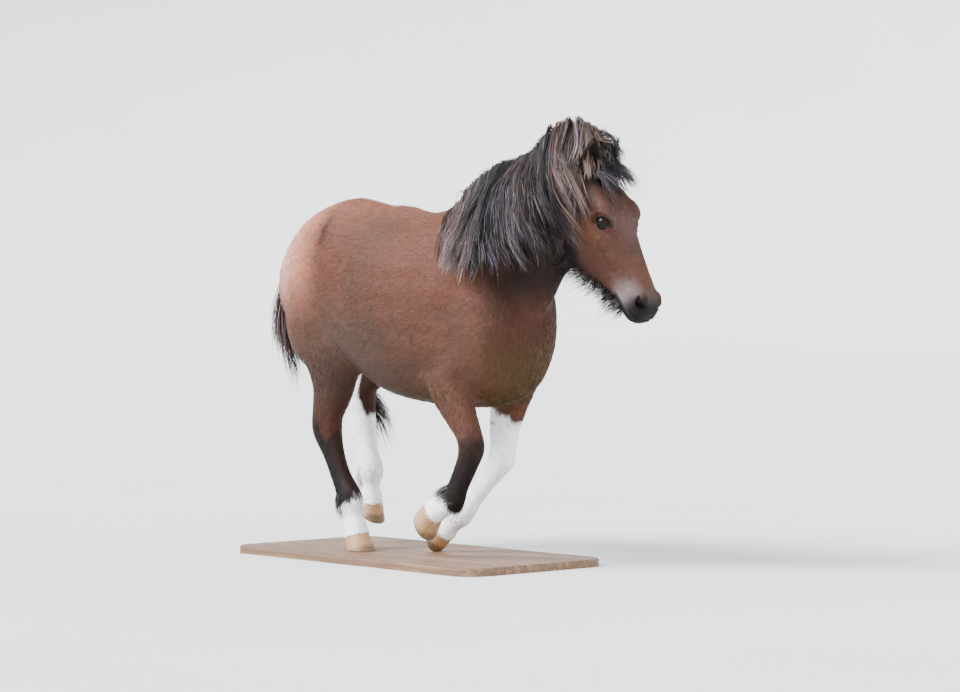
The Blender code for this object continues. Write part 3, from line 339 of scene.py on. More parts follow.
def head_axes():
    """The head's unit vectors: down the face, forward of the face, and to the pony's left."""
    level = Vector((math.cos(HEAD_YAW), math.sin(HEAD_YAW), 0.0))
    down = level * math.cos(FACE_SLOPE) - Vector((0, 0, 1)) * math.sin(FACE_SLOPE)
    left = Vector((-math.sin(HEAD_YAW), math.cos(HEAD_YAW), 0.0))
    forward = down.cross(left)
    return down, forward, left


def on_head(down_face, forward, aside):
    """A point given in the head's own frame."""
    down, ahead, left = head_axes()
    return POLL + down * down_face + ahead * forward + left * aside


def ellipsoid(bm, centre, axes, halves, rings=10):
    """Adds a ball stretched along three axes."""
    frame = Matrix([[axes[c][r] for c in range(3)] for r in range(3)]).to_4x4()
    scale = Matrix.Diagonal((*halves, 1.0))
    matrix = Matrix.Translation(centre) @ frame @ scale
    bmesh.ops.create_uvsphere(bm, u_segments=2 * rings, v_segments=rings, radius=1.0, matrix=matrix)


def trunk_rings():
    rings = []
    for x, low, high, half, wide in smooth_rows(TRUNK):
        centre = Vector((x, 0.0, wide))
        rings.append(ring(centre, (0, 1, 0), (0, 0, 1), half, high - wide, wide - low, 0.86))
    return rings


def neck_rings():
    rings = []
    for x, y, z, half, deep, lean in smooth_rows(NECK):
        angle = math.radians(lean)
        up = Vector((-math.sin(angle), 0.0, math.cos(angle)))
        rings.append(ring((x, y, z), (0, 1, 0), up, half, deep, deep, 1.0))
    return rings


def head_rings():
    down, forward, left = head_axes()
    rings = []
    for t, stand, depth, half, share in smooth_rows(HEAD, 0.010):
        centre = on_head(t, stand - depth * share, 0.0)
        rings.append(ring(centre, left, forward, half, depth * share, depth * (1 - share), 0.84))
    return rings


def head_swellings(bm):
    down, forward, left = head_axes()
    axes = (down, forward, left)
    for _, t, ahead, aside, long, deep, wide in HEAD_SWELLINGS:
        for sign in (-1, 1):
            ellipsoid(bm, on_head(t, ahead, sign * aside), axes, (long, deep, wide))
    t, ahead, long, deep, wide = CHIN
    ellipsoid(bm, on_head(t, ahead, 0.0), axes, (long, deep, wide))


def foot_axis(rows):
    """The way the pastern runs into the hoof."""
    return (Vector(rows[-1][:3]) - Vector(rows[-2][:3])).normalized()


def past_coronet(rows):
    """A spare station beyond the coronet, so that the cut there is clean."""
    end = Vector(rows[-1][:3]) + foot_axis(rows) * CORONET_SPARE
    return (*end, rows[-1][3], rows[-1][4])


def ear_axes(sign):
    """The ear's long axis, the way its cup opens and its width, for one side of the head."""
    down, forward, left = head_axes()
    rise = (EAR_LEANS[sign] + left * sign * EAR_OUTWARD).normalized()
    opening = forward * 0.80 + left * sign * 0.60
    opening = (opening - rise * opening.dot(rise)).normalized()
    return rise, opening, rise.cross(opening)


def eye_axes(sign):
    """The way the eye looks, then the long and the high axis of its opening."""
    down, forward, left = head_axes()
    out = (left * sign * 0.90 + forward * 0.40 + Vector((0, 0, 0.06))).normalized()
    long = (down * 0.68 + forward * 0.73).normalized()
    long = (long - out * long.dot(out)).normalized()
    return out, long, out.cross(long)


def eye_centre(sign):
    return on_head(EYE_PLACE[0], EYE_PLACE[1], sign * EYE_PLACE[2])


# small numeric helpers


def srgb(colour):
    """Linear colour from sRGB 0..255."""
    c = np.asarray(colour, dtype=float) / 255.0
    return np.where(c <= 0.04045, c / 12.92, ((c + 0.055) / 1.055) ** 2.4)


def smoothstep(low, high, x):
    t = np.clip((x - low) / (high - low), 0.0, 1.0)
    return t * t * (3 - 2 * t)


def mixed(a, b, f):
    """Blends rows of colours a towards b by a share per row."""
    f = np.clip(f, 0.0, 1.0)[:, None]
    return a * (1 - f) + np.asarray(b) * f


def hashed(ix, iy, iz, seed):
    n = (ix * 73856093) ^ (iy * 19349663) ^ (iz * 83492791) ^ (seed * 2654435)
    n = (n ^ (n >> 13)) * 1274126177
    n = n ^ (n >> 16)
    return (n & 0xFFFF) / 65535.0


def value_noise(p, size, seed=0):
    """Smooth noise from 0 to 1 at the points p, with features of the given size."""
    q = p / size
    base = np.floor(q).astype(np.int64)
    f = q - base
    f = f * f * (3 - 2 * f)
    total = np.zeros(len(p))
    for dx in (0, 1):
        for dy in (0, 1):
            for dz in (0, 1):
                corner = hashed(base[:, 0] + dx, base[:, 1] + dy, base[:, 2] + dz, seed)
                wx = f[:, 0] if dx else 1 - f[:, 0]
                wy = f[:, 1] if dy else 1 - f[:, 1]
                wz = f[:, 2] if dz else 1 - f[:, 2]
                total += corner * wx * wy * wz
    return total


def cloud(p, size, seed=0, octaves=3):
    total, weight, scale = np.zeros(len(p)), 0.0, 1.0
    for k in range(octaves):
        total += value_noise(p, size * scale, seed + 17 * k) * scale
        weight += scale
        scale *= 0.5
    return total / weight


def unit(v):
    return v / np.maximum(np.linalg.norm(v, axis=-1, keepdims=True), 1e-9)


# meshes


def new_object(name, mesh):
    obj = bpy.data.objects.new(name, mesh)
    bpy.context.scene.collection.objects.link(obj)
    return obj


def object_from(bm, name):
    mesh = bpy.data.meshes.new(name)
    bm.to_mesh(mesh)
    bm.free()
    return new_object(name, mesh)


def baked(obj):
    """Replaces the mesh with its evaluated one and drops the modifiers."""
    graph = bpy.context.evaluated_depsgraph_get()
    mesh = bpy.data.meshes.new_from_object(obj.evaluated_get(graph))
    old = obj.data
    obj.modifiers.clear()
    obj.data = mesh
    bpy.data.meshes.remove(old)


def mesh_of(name, verts, faces):
    """A mesh from arrays of points and of triangles or quads."""
    mesh = bpy.data.meshes.new(name)
    count, size = faces.shape
    mesh.vertices.add(len(verts))
    mesh.vertices.foreach_set("co", np.ascontiguousarray(verts, dtype=np.float32).ravel())
    mesh.loops.add(count * size)
    mesh.loops.foreach_set("vertex_index", np.ascontiguousarray(faces, dtype=np.int32).ravel())
    mesh.polygons.add(count)
    mesh.polygons.foreach_set("loop_start", np.arange(0, count * size, size, dtype=np.int32))
    mesh.update(calc_edges=True)
    return mesh


def paint(mesh, name, colours):
    """Stores a colour per point."""
    layer = mesh.color_attributes.new(name, "FLOAT_COLOR", "POINT")
    rgba = np.ones((len(colours), 4), dtype=np.float32)
    rgba[:, :3] = colours
    layer.data.foreach_set("color", rgba.ravel())


def store(mesh, name, values):
    """Stores a number or a vector per point."""
    kind = "FLOAT" if values.ndim == 1 else "FLOAT_VECTOR"
    layer = mesh.attributes.new(name, kind, "POINT")
    layer.data.foreach_set(
        "value" if values.ndim == 1 else "vector", np.ascontiguousarray(values, np.float32).ravel()
    )


def points_of(mesh):
    co = np.empty(len(mesh.vertices) * 3, dtype=np.float32)
    mesh.vertices.foreach_get("co", co)
    return co.reshape(-1, 3).astype(float)


def normals_of(mesh):
    no = np.empty(len(mesh.vertices) * 3, dtype=np.float32)
    mesh.vertices.foreach_get("normal", no)
    return no.reshape(-1, 3).astype(float)


def show(obj, mat):
    """Gives a piece its finish and lets it ride on the body."""
    obj.data.materials.clear()
    obj.data.materials.append(mat)
    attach(obj, "root")


# where a point lies on the body

HEAD_PLANE = (np.array((0.553, 0.05, 0.90)), unit(np.array((0.970, 0.154, -0.170))))


def head_coords(p):
    """Distance down the face, forward and to the left for each point."""
    down, forward, left = (np.array(a) for a in head_axes())
    q = p - np.array(POLL)
    return q @ down, q @ forward, q @ left


def head_share(p):
    """1 on the head, 0 behind the jaw and poll."""
    ahead = (p - HEAD_PLANE[0]) @ HEAD_PLANE[1]
    return smoothstep(-0.012, 0.012, ahead) * (p[:, 2] > 0.58)


def leg_field(p):
    """For each point: nearest leg, station along it, distance in half widths and axis."""
    best = np.full(len(p), 1e9)
    leg = np.zeros(len(p), dtype=int)
    station = np.zeros(len(p))
    axis = np.zeros((len(p), 3))
    offset = np.zeros((len(p), 3))
    for index, rows in enumerate(LEGS.values()):
        table = np.array(rows)
        for k in range(len(table) - 1):
            a, b = table[k, :3], table[k + 1, :3]
            run = b - a
            t = np.clip(((p - a) @ run) / (run @ run), 0, 1)
            place = a + t[:, None] * run
            size = table[k, 4] + (table[k + 1, 4] - table[k, 4]) * t
            away = p - place
            far = np.linalg.norm(away, axis=1) / size
            closer = far < best
            best[closer] = far[closer]
            leg[closer] = index
            station[closer] = (k + t)[closer]
            axis[closer] = unit(run)
            offset[closer] = away[closer]
    return leg, station, best, axis, offset


def leg_share(p, leg, station):
    """How far a point belongs to a leg rather than to the trunk."""
    return smoothstep(1.2, 3.0, station) * (p[:, 2] < 0.60)


# markings, with painted light and shade


def coat_colour(p):
    """The colour of the coat at points given in the body frame, with painted shade, sheen and reflected light
    mixed in.
    """
    x, y, z = p.T
    right = smoothstep(0.02, -0.05, y)
    bay, light, dark = srgb(BAY), srgb(BARREL_SHADE), srgb(BAY_DARK)
    big = cloud(p, 0.16, 3)
    mid = cloud(p, 0.035, 5)
    fine = value_noise(p * np.array((0.5, 1.0, 1.6)), 0.006, 9)
    c = np.repeat(bay[None], len(p), axis=0)
    c = mixed(c, srgb(CHESTNUT), smoothstep(0.35, 0.7, big) * 0.7)
    # painted shade: the lower barrel darker, broken up by noise
    flank = np.exp(-(((x + 0.02) / 0.30) ** 2) - ((z - 0.56) / 0.17) ** 2)
    c = mixed(c, light, flank * 0.80 * (0.6 + 0.8 * mid))
    # painted highlight: the top of the croup paler
    croup_sheen = smoothstep(0.84, 0.93, z) * smoothstep(0.30, 0.10, x)
    c = mixed(c, srgb(RUMP_SHEEN), croup_sheen * (0.12 + 0.12 * mid))
    # painted shade: the neck under the mane darker
    neck = smoothstep(0.34, 0.46, x) * smoothstep(0.60, 0.72, z)
    c = mixed(c, dark, neck * 0.92)
    # painted shade: the front of the chest darker
    front = smoothstep(0.36, 0.46, x) * smoothstep(0.72, 0.60, z)
    c = mixed(c, dark, front * 0.45)
    leg, station, _, _, _ = leg_field(p)
    trunk = 1.0 - leg_share(p, leg, station)
    # painted reflection of green grass light on the belly
    belly = smoothstep(0.475, 0.41, z) * smoothstep(-0.30, -0.12, x) * trunk
    c = mixed(c, srgb(GRASS_REFLECTION), belly * (0.55 + 0.4 * mid))
    # painted reflection of green grass light on the lower chest
    chest = np.exp(-(((x - 0.45) / 0.07) ** 2) - ((z - 0.48) / 0.075) ** 2)
    c = mixed(c, srgb(GRASS_REFLECTION), chest * (0.40 + 0.5 * mid) * (0.4 + 0.6 * trunk))
    # painted sheen: the hind end of the rump paler
    rump = smoothstep(-0.16, -0.31, x) * smoothstep(0.60, 0.78, z)
    c = mixed(c, srgb(RUMP_SHEEN), rump * (0.62 + 0.4 * mid))
    # painted highlight: a lilac sheen streak on the rump, mostly on the near side
    sheen = np.exp(-(((x + 0.345) / 0.030) ** 2) - ((z - 0.785) / 0.090) ** 2)
    c = mixed(c, srgb(LILAC_SHEEN), sheen * (0.10 + 0.90 * right) * (0.26 + 0.4 * mid))
    gaskin = smoothstep(0.58, 0.48, z) * smoothstep(-0.10, -0.16, x)
    c = mixed(c, dark, gaskin * 0.50)
    # painted shadow in the hollow by the hip bone, stronger on the near side
    hip = np.exp(-(((x + 0.178) / 0.016) ** 2) - ((z - 0.852) / 0.045) ** 2)
    c = mixed(c, dark, hip * (0.15 + 0.6 * right))
    patch = smoothstep(0.075, 0.05, np.abs(x + 0.115)) * smoothstep(0.05, 0.025, np.abs(y - 0.012))
    c = mixed(c, srgb(WHITE), patch * smoothstep(0.90, 0.93, z) * smoothstep(0.25, 0.55, mid + 0.25))
    c = leg_colour(p, c, mid)
    c = head_colour(p, c, mid)
    shade = 0.87 + 0.26 * fine
    return c * shade[:, None]


def leg_colour(p, c, mid):
    leg, station, far, axis, offset = leg_field(p)
    inside = leg_share(p, leg, station)
    ragged = (mid - 0.5) * 1.1
    s = station + ragged
    white, smoke, dark = srgb(WHITE), srgb(SMOKE), srgb(BROWN_BLACK)
    behind = -offset[:, 0] / np.maximum(np.linalg.norm(offset, axis=1), 1e-6)
    for index, name in enumerate(LEGS):
        own = inside * (leg == index)
        if name == "leg_hind_right":
            black = smoothstep(3.5, 5.2, s) * smoothstep(-0.9, 0.2, behind + 0.6 * (s > 5.4))
            c = mixed(c, dark, own * black)
            c = mixed(c, smoke, own * black * smoothstep(5.0, 6.5, s) * 0.55)
            c = mixed(c, white, own * smoothstep(8.05, 8.25, s - 0.5 * ragged))
        elif name == "leg_fore_right":
            black = smoothstep(3.7, 5.0, s) * smoothstep(0.9, 0.1, behind * (s < 6.0))
            c = mixed(c, dark, own * black * 0.9)
            c = mixed(c, smoke, own * black * smoothstep(4.8, 6.4, s) * 0.6)
            c = mixed(c, white, own * smoothstep(8.0, 8.25, s - 0.5 * ragged))
        elif name == "leg_fore_left":
            c = mixed(c, white, own * smoothstep(2.75, 2.95, s))
            spot = smoothstep(0.020, 0.012, np.linalg.norm(p - np.array((0.135, 0.03, 0.135)), axis=1))
            c = mixed(c, smoke, own * spot)
        else:
            inner = -(0.669 * offset[:, 0] + 0.743 * offset[:, 1])
            inner = inner / np.maximum(np.linalg.norm(offset, axis=1), 1e-6)
            high = 5.5 - 2.3 * smoothstep(-0.2, 0.8, inner)
            c = mixed(c, white, own * smoothstep(0.0, 0.2, s - high))
    return c


def head_colour(p, c, mid):
    t, f, a = head_coords(p)
    on = head_share(p)
    side = smoothstep(0.020, 0.045, np.abs(a))
    face = mixed(np.repeat(srgb(FACE)[None], len(p), axis=0), srgb(CHESTNUT), mid * 0.35)
    face = mixed(face, srgb(BAY_DARK), smoothstep(0.12, 0.04, t) * 0.7)
    # the throat darker: dark hair there, and painted shade under the jaw
    throat_hair_and_shade = smoothstep(-0.070, -0.125, f) * smoothstep(0.20, 0.13, t)
    face = mixed(face, srgb(BAY_DARK), throat_hair_and_shade * 0.7)
    behind_eye = np.exp(-(((t - 0.150) / 0.045) ** 2) - ((f + 0.070) / 0.026) ** 2)
    face = mixed(face, srgb(GINGER), behind_eye * 0.60 * side)
    # painted sheen down the bridge of the nose
    bridge_sheen = smoothstep(-0.022, 0.004, f) * smoothstep(0.10, 0.20, t) * smoothstep(0.33, 0.24, t)
    face = mixed(face, srgb(LILAC_SHEEN), bridge_sheen * (0.03 + 0.08 * mid))
    # the dark beard hair along the jaw, and painted shade under it
    jaw = smoothstep(-0.108, -0.142, f + 0.10 * smoothstep(0.16, 0.34, t) + 0.03 * (mid - 0.5))
    face = mixed(face, srgb(SMOKE), jaw * 0.88)
    edge = t + 0.03 * (mid - 0.5)
    front = smoothstep(-0.030, -0.006, f) * smoothstep(0.24, 0.31, t)
    face = mixed(face, srgb(GINGER), front * 0.55)
    mealy = smoothstep(0.272, 0.345, edge) * smoothstep(-0.012, -0.056, f)
    mealy = mealy * smoothstep(-0.116, -0.084, f)
    face = mixed(face, srgb(MEALY), mealy * (0.70 + 0.35 * mid))
    start = 0.356 - 0.30 * np.clip(-f - 0.050, 0.0, 0.045)
    dark = smoothstep(-0.006, 0.030, edge - start)
    corner, tip = np.array(MOUTH_CORNER), np.array(MOUTH_FRONT)
    run = tip - corner
    above = ((t - corner[0]) * -run[1] + (f - corner[1]) * run[0]) / np.linalg.norm(run)
    under = smoothstep(0.003, -0.004, above) * smoothstep(0.298, 0.322, t)
    face = mixed(face, srgb(LIP), np.maximum(dark, under) * 0.95)
    spot = ((t - 0.375) / 0.026) ** 2 + ((f + 0.048) / 0.020) ** 2
    face = mixed(face, srgb(LIP) * 0.7, np.exp(-spot) * smoothstep(0.022, 0.034, np.abs(a)))
    rim = np.exp(-(((above - 0.003) / 0.0022) ** 2)) * smoothstep(0.31, 0.32, t) * smoothstep(0.365, 0.345, t)
    face = mixed(face, srgb(MEALY), rim * 0.6)
    eye = eye_distance(p)
    face = mixed(face, srgb(SMOKE), smoothstep(0.027, 0.0185, eye) * 0.92)
    return c * (1 - on[:, None]) + face * on[:, None]


def eye_distance(p):
    """Distance to the nearer eye, measured on its opening."""
    best = np.full(len(p), 9.0)
    for sign in (-1, 1):
        out, long, high = (np.array(v) for v in eye_axes(sign))
        q = p - np.array(eye_centre(sign))
        d = np.sqrt((q @ long) ** 2 + (1.75 * (q @ high)) ** 2)
        best = np.where((q @ out > -0.01) & (d < best), d, best)
    return best


# lie of the coat


def coat_flow(p, n):
    """The way the hair lies at each point, along the surface."""
    d, ff, left = (np.array(a) for a in head_axes())
    flow = np.tile(np.array((-0.85, 0.0, -0.50)), (len(p), 1))
    x, y, z = p.T
    neck = smoothstep(0.30, 0.45, x) * smoothstep(0.60, 0.72, z)
    flow = flow * (1 - neck[:, None]) + np.array((-0.50, 0.0, -0.86)) * neck[:, None]
    chest = smoothstep(0.38, 0.46, x) * smoothstep(0.75, 0.62, z)
    flow = flow * (1 - chest[:, None]) + np.array((-0.15, 0.0, -1.0)) * chest[:, None]
    rump = smoothstep(-0.30, -0.44, x)
    flow = flow * (1 - rump[:, None]) + np.array((-0.25, 0.0, -1.0)) * rump[:, None]
    leg, station, far, axis, offset = leg_field(p)
    share = leg_share(p, leg, station)[:, None]
    flow = flow * (1 - share) + axis * share
    t, f, a = head_coords(p)
    on = head_share(p)[:, None]
    cheek = smoothstep(-0.06, -0.13, f)[:, None] * smoothstep(0.26, 0.18, t)[:, None]
    face = d * 0.95 - ff * 0.15
    face = face * (1 - cheek) + (d * 0.25 - ff * 0.95) * cheek
    flow = flow * (1 - on) + face * on
    swirl = cloud(p, 0.14, 31, 2) - 0.5
    across = np.cross(n, unit(flow))
    flow = unit(flow) + across * swirl[:, None] * 0.5
    flow = flow - n * np.sum(flow * n, axis=1, keepdims=True)
    return unit(flow)


# skin

# Soft shapes pressed into the body: x, y, z, radius, amount out of the surface
FORMS = (
    ("point of shoulder", 0.385, 0.120, 0.560, 0.045, 0.003),
    ("shoulder blade edge", 0.270, 0.155, 0.700, 0.050, 0.005),
    ("shoulder hollow", 0.330, 0.135, 0.700, 0.040, -0.005),
    ("behind elbow", 0.185, 0.165, 0.470, 0.040, -0.006),
    ("point of elbow", 0.225, 0.135, 0.470, 0.030, 0.006),
    ("forearm muscle", 0.290, 0.130, 0.440, 0.040, 0.004),
    ("hip bone", -0.150, 0.160, 0.850, 0.035, 0.006),
    ("hip hollow", -0.178, 0.150, 0.835, 0.022, -0.006),
    ("flank hollow", -0.110, 0.195, 0.680, 0.060, -0.007),
    ("stifle", -0.120, 0.155, 0.560, 0.045, 0.007),
    ("behind stifle", -0.180, 0.165, 0.600, 0.040, -0.004),
    ("buttock", -0.420, 0.090, 0.720, 0.050, 0.005),
    ("chest side", 0.435, 0.055, 0.530, 0.060, -0.015),
    ("belly tuck", -0.110, 0.100, 0.450, 0.060, -0.004),
)


# Joints of the legs swollen and the pasterns drawn in: station, reach in stations, amount
LEG_FORMS = {
    "leg_hind_right": ((8.0, 0.45, 0.0025), (9.0, 0.40, -0.0020)),
    "leg_hind_left": ((6.0, 1.60, 0.0045), (8.0, 0.50, 0.0040), (9.0, 0.40, -0.0030)),
    "leg_fore_right": ((6.4, 0.90, 0.0025), (8.0, 0.45, 0.0025), (9.0, 0.40, -0.0015)),
    "leg_fore_left": ((8.0, 0.45, 0.0025), (9.0, 0.40, -0.0015)),
}


def build_skin():
    """One skin over trunk, neck, head and legs, finer on the head, with the forms of the face."""
    bm = bmesh.new()
    loft(bm, trunk_rings())
    loft(bm, neck_rings())
    loft(bm, head_rings())
    head_swellings(bm)
    for rows in LEGS.values():
        loft(bm, path_rings((*rows, past_coronet(rows))))
    raw = object_from(bm, "skin")
    remesh = raw.modifiers.new("Remesh", "REMESH")
    remesh.mode = "VOXEL"
    remesh.voxel_size = SKIN_VOXEL
    relax = raw.modifiers.new("Smooth", "SMOOTH")
    relax.factor = 0.5
    relax.iterations = SKIN_RELAX
    baked(raw)
    bm = bmesh.new()
    bm.from_mesh(raw.data)
    trim_feet(bm)
    refine(bm, 0.10, None)
    refine(bm, 0.10, FINE_RADIUS)
    bmesh.ops.triangulate(bm, faces=[f for f in bm.faces if len(f.verts) > 4])
    bm.normal_update()
    bm.to_mesh(raw.data)
    bm.free()
    return raw


def trim_feet(bm):
    """Ends the skin at each coronet."""
    for rows in LEGS.values():
        axis = foot_axis(rows)
        place = Vector(rows[-1][:3]) + axis * 0.003
        near = [
            f
            for f in bm.faces
            if (f.calc_center_median() - Vector(rows[-1][:3])).length < 0.075
        ]
        geom = list({v for f in near for v in f.verts} | {e for f in near for e in f.edges}) + near
        bmesh.ops.bisect_plane(bm, geom=geom, plane_co=place, plane_no=axis, clear_outer=True)
        rim = [
            e
            for e in bm.edges
            if e.is_boundary and (e.verts[0].co - Vector(rows[-1][:3])).length < 0.09
        ]
        bmesh.ops.holes_fill(bm, edges=rim, sides=0)


def refine(bm, start_t, radius):
    """Splits faces on the head, or only those near the eyes, nostrils and mouth."""
    down, forward, left = head_axes()
    spots = []
    for sign in (-1, 1):
        spots.append((eye_centre(sign), radius))
        spots.append((on_head(NOSTRIL_PLACE[0], NOSTRIL_PLACE[1], sign * NOSTRIL_PLACE[2]), 0.030))
        for t, f in ((0.325, -0.092), (0.350, -0.086), (0.375, -0.080), (0.395, -0.075)):
            spots.append((on_head(t, f, sign * 0.035), 0.018))
    chosen = []
    for face in bm.faces:
        centre = face.calc_center_median()
        q = centre - POLL
        if q.dot(down) < start_t or centre.x < 0.56:
            continue
        if radius is None or any((centre - spot).length < size for spot, size in spots):
            chosen.append(face)
    edges = list({e for f in chosen for e in f.edges})
    bmesh.ops.subdivide_edges(bm, edges=edges, cuts=1, use_grid_fill=True)


def sculpt(p, n):
    """Presses the body's forms and the details of the head into the points."""
    p = p.copy()
    for _, x, y, z, radius, amount in FORMS:
        for sign in (-1, 1):
            away = np.linalg.norm(p - np.array((x, sign * y, z)), axis=1)
            p += n * (amount * np.exp(-((away / radius) ** 2)))[:, None]
    leg, station, _, _, _ = leg_field(p)
    inside = leg_share(p, leg, station)
    for index, name in enumerate(LEGS):
        for at, reach, amount in LEG_FORMS[name]:
            swell = amount * np.exp(-(((station - at) / reach) ** 2))
            p += n * (swell * inside * (leg == index))[:, None]
    t, f, a = head_coords(p)
    on = head_share(p)
    side = np.abs(a)
    for t0, f0, a0, rt, rf, amount in FACE_FORMS:
        bump = np.exp(-(((t - t0) / rt) ** 2) - ((f - f0) / rf) ** 2 - ((side - a0) / 0.03) ** 2)
        p += n * (amount * bump * on)[:, None]
    for t1, f1, t2, f2, a0, radius, amount in FACE_LINES:
        run = np.array((t2 - t1, f2 - f1))
        u = np.clip(((t - t1) * run[0] + (f - f1) * run[1]) / (run @ run), 0, 1)
        d = np.hypot(t - t1 - u * run[0], f - f1 - u * run[1])
        fade = np.exp(-((d / radius) ** 2)) * smoothstep(a0 - 0.02, a0, side)
        p += n * (amount * fade * on)[:, None]
    p = press_mouth(p, n)
    for sign in (-1, 1):
        p = press_nostril(p, sign)
        p = press_eye(p, sign)
    return p


# Forms of the face, mirrored: down the face, forward, aside, two radii, amount
FACE_FORMS = (
    (0.090, -0.004, 0.046, 0.026, 0.020, 0.0070),
    (0.135, -0.004, 0.048, 0.020, 0.010, 0.0010),
    (0.190, -0.062, 0.060, 0.020, 0.012, 0.0020),
    (0.235, -0.030, 0.045, 0.030, 0.014, -0.0025),
    (0.300, -0.030, 0.040, 0.030, 0.014, -0.0015),
    (0.335, -0.060, 0.045, 0.018, 0.014, 0.0020),
    (0.374, -0.012, 0.000, 0.034, 0.030, -0.0070),
    (0.394, -0.062, 0.000, 0.026, 0.036, -0.0050),
    (0.215, -0.105, 0.055, 0.018, 0.030, -0.0030),
)

# Long folds of the face, mirrored: from t, f to t, f, least distance aside, radius, amount
FACE_LINES = (
    (0.185, -0.052, 0.262, -0.062, 0.040, 0.0060, 0.0028),
    (0.190, -0.066, 0.262, -0.076, 0.040, 0.0070, -0.0022),
    (0.240, -0.082, 0.312, -0.072, 0.030, 0.0050, 0.0012),
    (0.322, -0.052, 0.340, -0.078, 0.030, 0.0040, -0.0012),
    (0.110, -0.060, 0.150, -0.140, 0.050, 0.0100, -0.0020),
)


def press_mouth(p, n):
    """The line between the lips and the roll of each lip."""
    t, f, a = head_coords(p)
    corner, front = np.array(MOUTH_CORNER), np.array(MOUTH_FRONT)
    run = front - corner
    u = np.clip(((t - corner[0]) * run[0] + (f - corner[1]) * run[1]) / (run @ run), 0, 1)
    across = ((t - corner[0]) * -run[1] + (f - corner[1]) * run[0]) / np.linalg.norm(run)
    d = np.hypot(t - corner[0] - u * run[0], f - corner[1] - u * run[1])
    on = (t > 0.29) & (f < -0.03)
    groove = np.exp(-((d / 0.0022) ** 2)) * -0.0042
    rolls = np.exp(-(((np.abs(across) - 0.0065) / 0.0045) ** 2)) * 0.0016 * (d < 0.02)
    return p + n * ((groove + rolls) * on)[:, None]


def press_nostril(p, sign):
    """A comma-shaped hollow with a raised rim."""
    down, forward, left = head_axes()
    turn = Matrix.Rotation(NOSTRIL_TURN, 3, left)
    long, wide = np.array(turn @ down), np.array(turn @ forward)
    out = unit(np.array(left * sign * 0.85 + forward * 0.35 + down * 0.35))
    centre = np.array(on_head(NOSTRIL_PLACE[0], NOSTRIL_PLACE[1], sign * 0.044))
    q = p - centre
    x, y = q @ long, q @ wide
    y = y - 0.40 * x**2 / 0.016
    e = np.sqrt((x / 0.0175) ** 2 + (y / 0.0088) ** 2)
    near = (q @ out > -0.022) & (np.linalg.norm(q, axis=1) < 0.05)
    hollow = -0.0165 * smoothstep(1.0, 0.5, e)
    rim = 0.0022 * np.exp(-(((e - 1.22) / 0.20) ** 2))
    return p + out * ((hollow + rim) * near)[:, None]


def press_eye(p, sign):
    """The lids laid on the ball, the almond opening between them and the folds round it."""
    out, long, high = (np.array(v) for v in eye_axes(sign))
    centre = np.array(eye_centre(sign))
    q = p - centre
    x, y, z = q @ long, q @ high, q @ out
    r2 = x * x + y * y
    near = (z > -0.012) & (r2 < 0.045**2)
    high_half = np.where(y > 0, LID_HIGH_UP, LID_HIGH_LOW)
    e = np.sqrt((x / LID_LONG) ** 2 + (y / high_half) ** 2)
    ball = np.sqrt(np.maximum(EYE_RADIUS**2 - r2, 0.0))
    lid = np.sqrt(np.maximum((EYE_RADIUS + LID_THICK) ** 2 - r2, 0.0))
    rim = 0.0008 * np.exp(-(((e - 1.06) / 0.10) ** 2))
    target = np.where(e < 0.97, ball - 0.006, lid + rim)
    pull = smoothstep(2.1, 1.25, e)
    z_new = z * (1 - pull) + target * pull
    z_new = np.where((e >= 1.0) & (z_new < z - 0.006), np.maximum(z_new, z - 0.006), z_new)
    fold = -0.0016 * np.exp(-(((e - 1.75) / 0.13) ** 2)) * smoothstep(-0.2, 0.5, y / 0.012)
    fold += -0.0009 * np.exp(-(((e - 1.55) / 0.12) ** 2)) * smoothstep(0.1, -0.6, y / 0.012)
    fold += 0.0016 * np.exp(-(((e - 2.1) / 0.2) ** 2)) * smoothstep(0.0, 0.8, y / 0.012)
    z_new = z_new + fold
    return p + out * (np.where(near, z_new - z, 0.0))[:, None]


LID_HIGH_UP = 0.0088
LID_HIGH_LOW = 0.0078


def inset_depth(p):
    """How deep the skin lies under the outline of the coat."""
    leg, station, far, axis, offset = leg_field(p)
    share = leg_share(p, leg, station)
    body = 0.0034 * (1 - share) + 0.0016 * share
    on = head_share(p)
    t, f, a = head_coords(p)
    face = 0.0014 * smoothstep(0.36, 0.25, t) + 0.0002
    return body * (1 - on) + face * on


def finish_skin(skin):
    mesh = skin.data
    p, n = points_of(mesh), normals_of(mesh)
    p = sculpt(p, n)
    p -= n * inset_depth(p)[:, None]
    mesh.vertices.foreach_set("co", p.astype(np.float32).ravel())
    mesh.update()
    mesh.shade_smooth()
    return points_of(mesh), normals_of(mesh)


def unwrap(skin):
    """Unwraps the skin's own shape into the map OFBake."""
    mesh = skin.data
    mesh.uv_layers.new(name="OFBake")
    bpy.context.view_layer.objects.active = skin
    skin.select_set(True)
    bpy.ops.object.mode_set(mode="EDIT")
    bpy.ops.mesh.select_all(action="SELECT")
    bpy.ops.uv.smart_project(angle_limit=math.radians(66), island_margin=0.002)
    bpy.ops.object.mode_set(mode="OBJECT")
    skin.select_set(False)


# tufts of the coat


def triangles_of(mesh):
    """Corner points, corner indices and unwrap places of the mesh's triangles."""
    mesh.calc_loop_triangles()
    count = len(mesh.loop_triangles)
    verts = np.empty(count * 3, dtype=np.int32)
    loops = np.empty(count * 3, dtype=np.int32)
    mesh.loop_triangles.foreach_get("vertices", verts)
    mesh.loop_triangles.foreach_get("loops", loops)
    uv = np.empty(len(mesh.loops) * 2, dtype=np.float32)
    mesh.uv_layers["OFBake"].data.foreach_get("uv", uv)
    return verts.reshape(-1, 3), uv.reshape(-1, 2)[loops.reshape(-1, 3)]


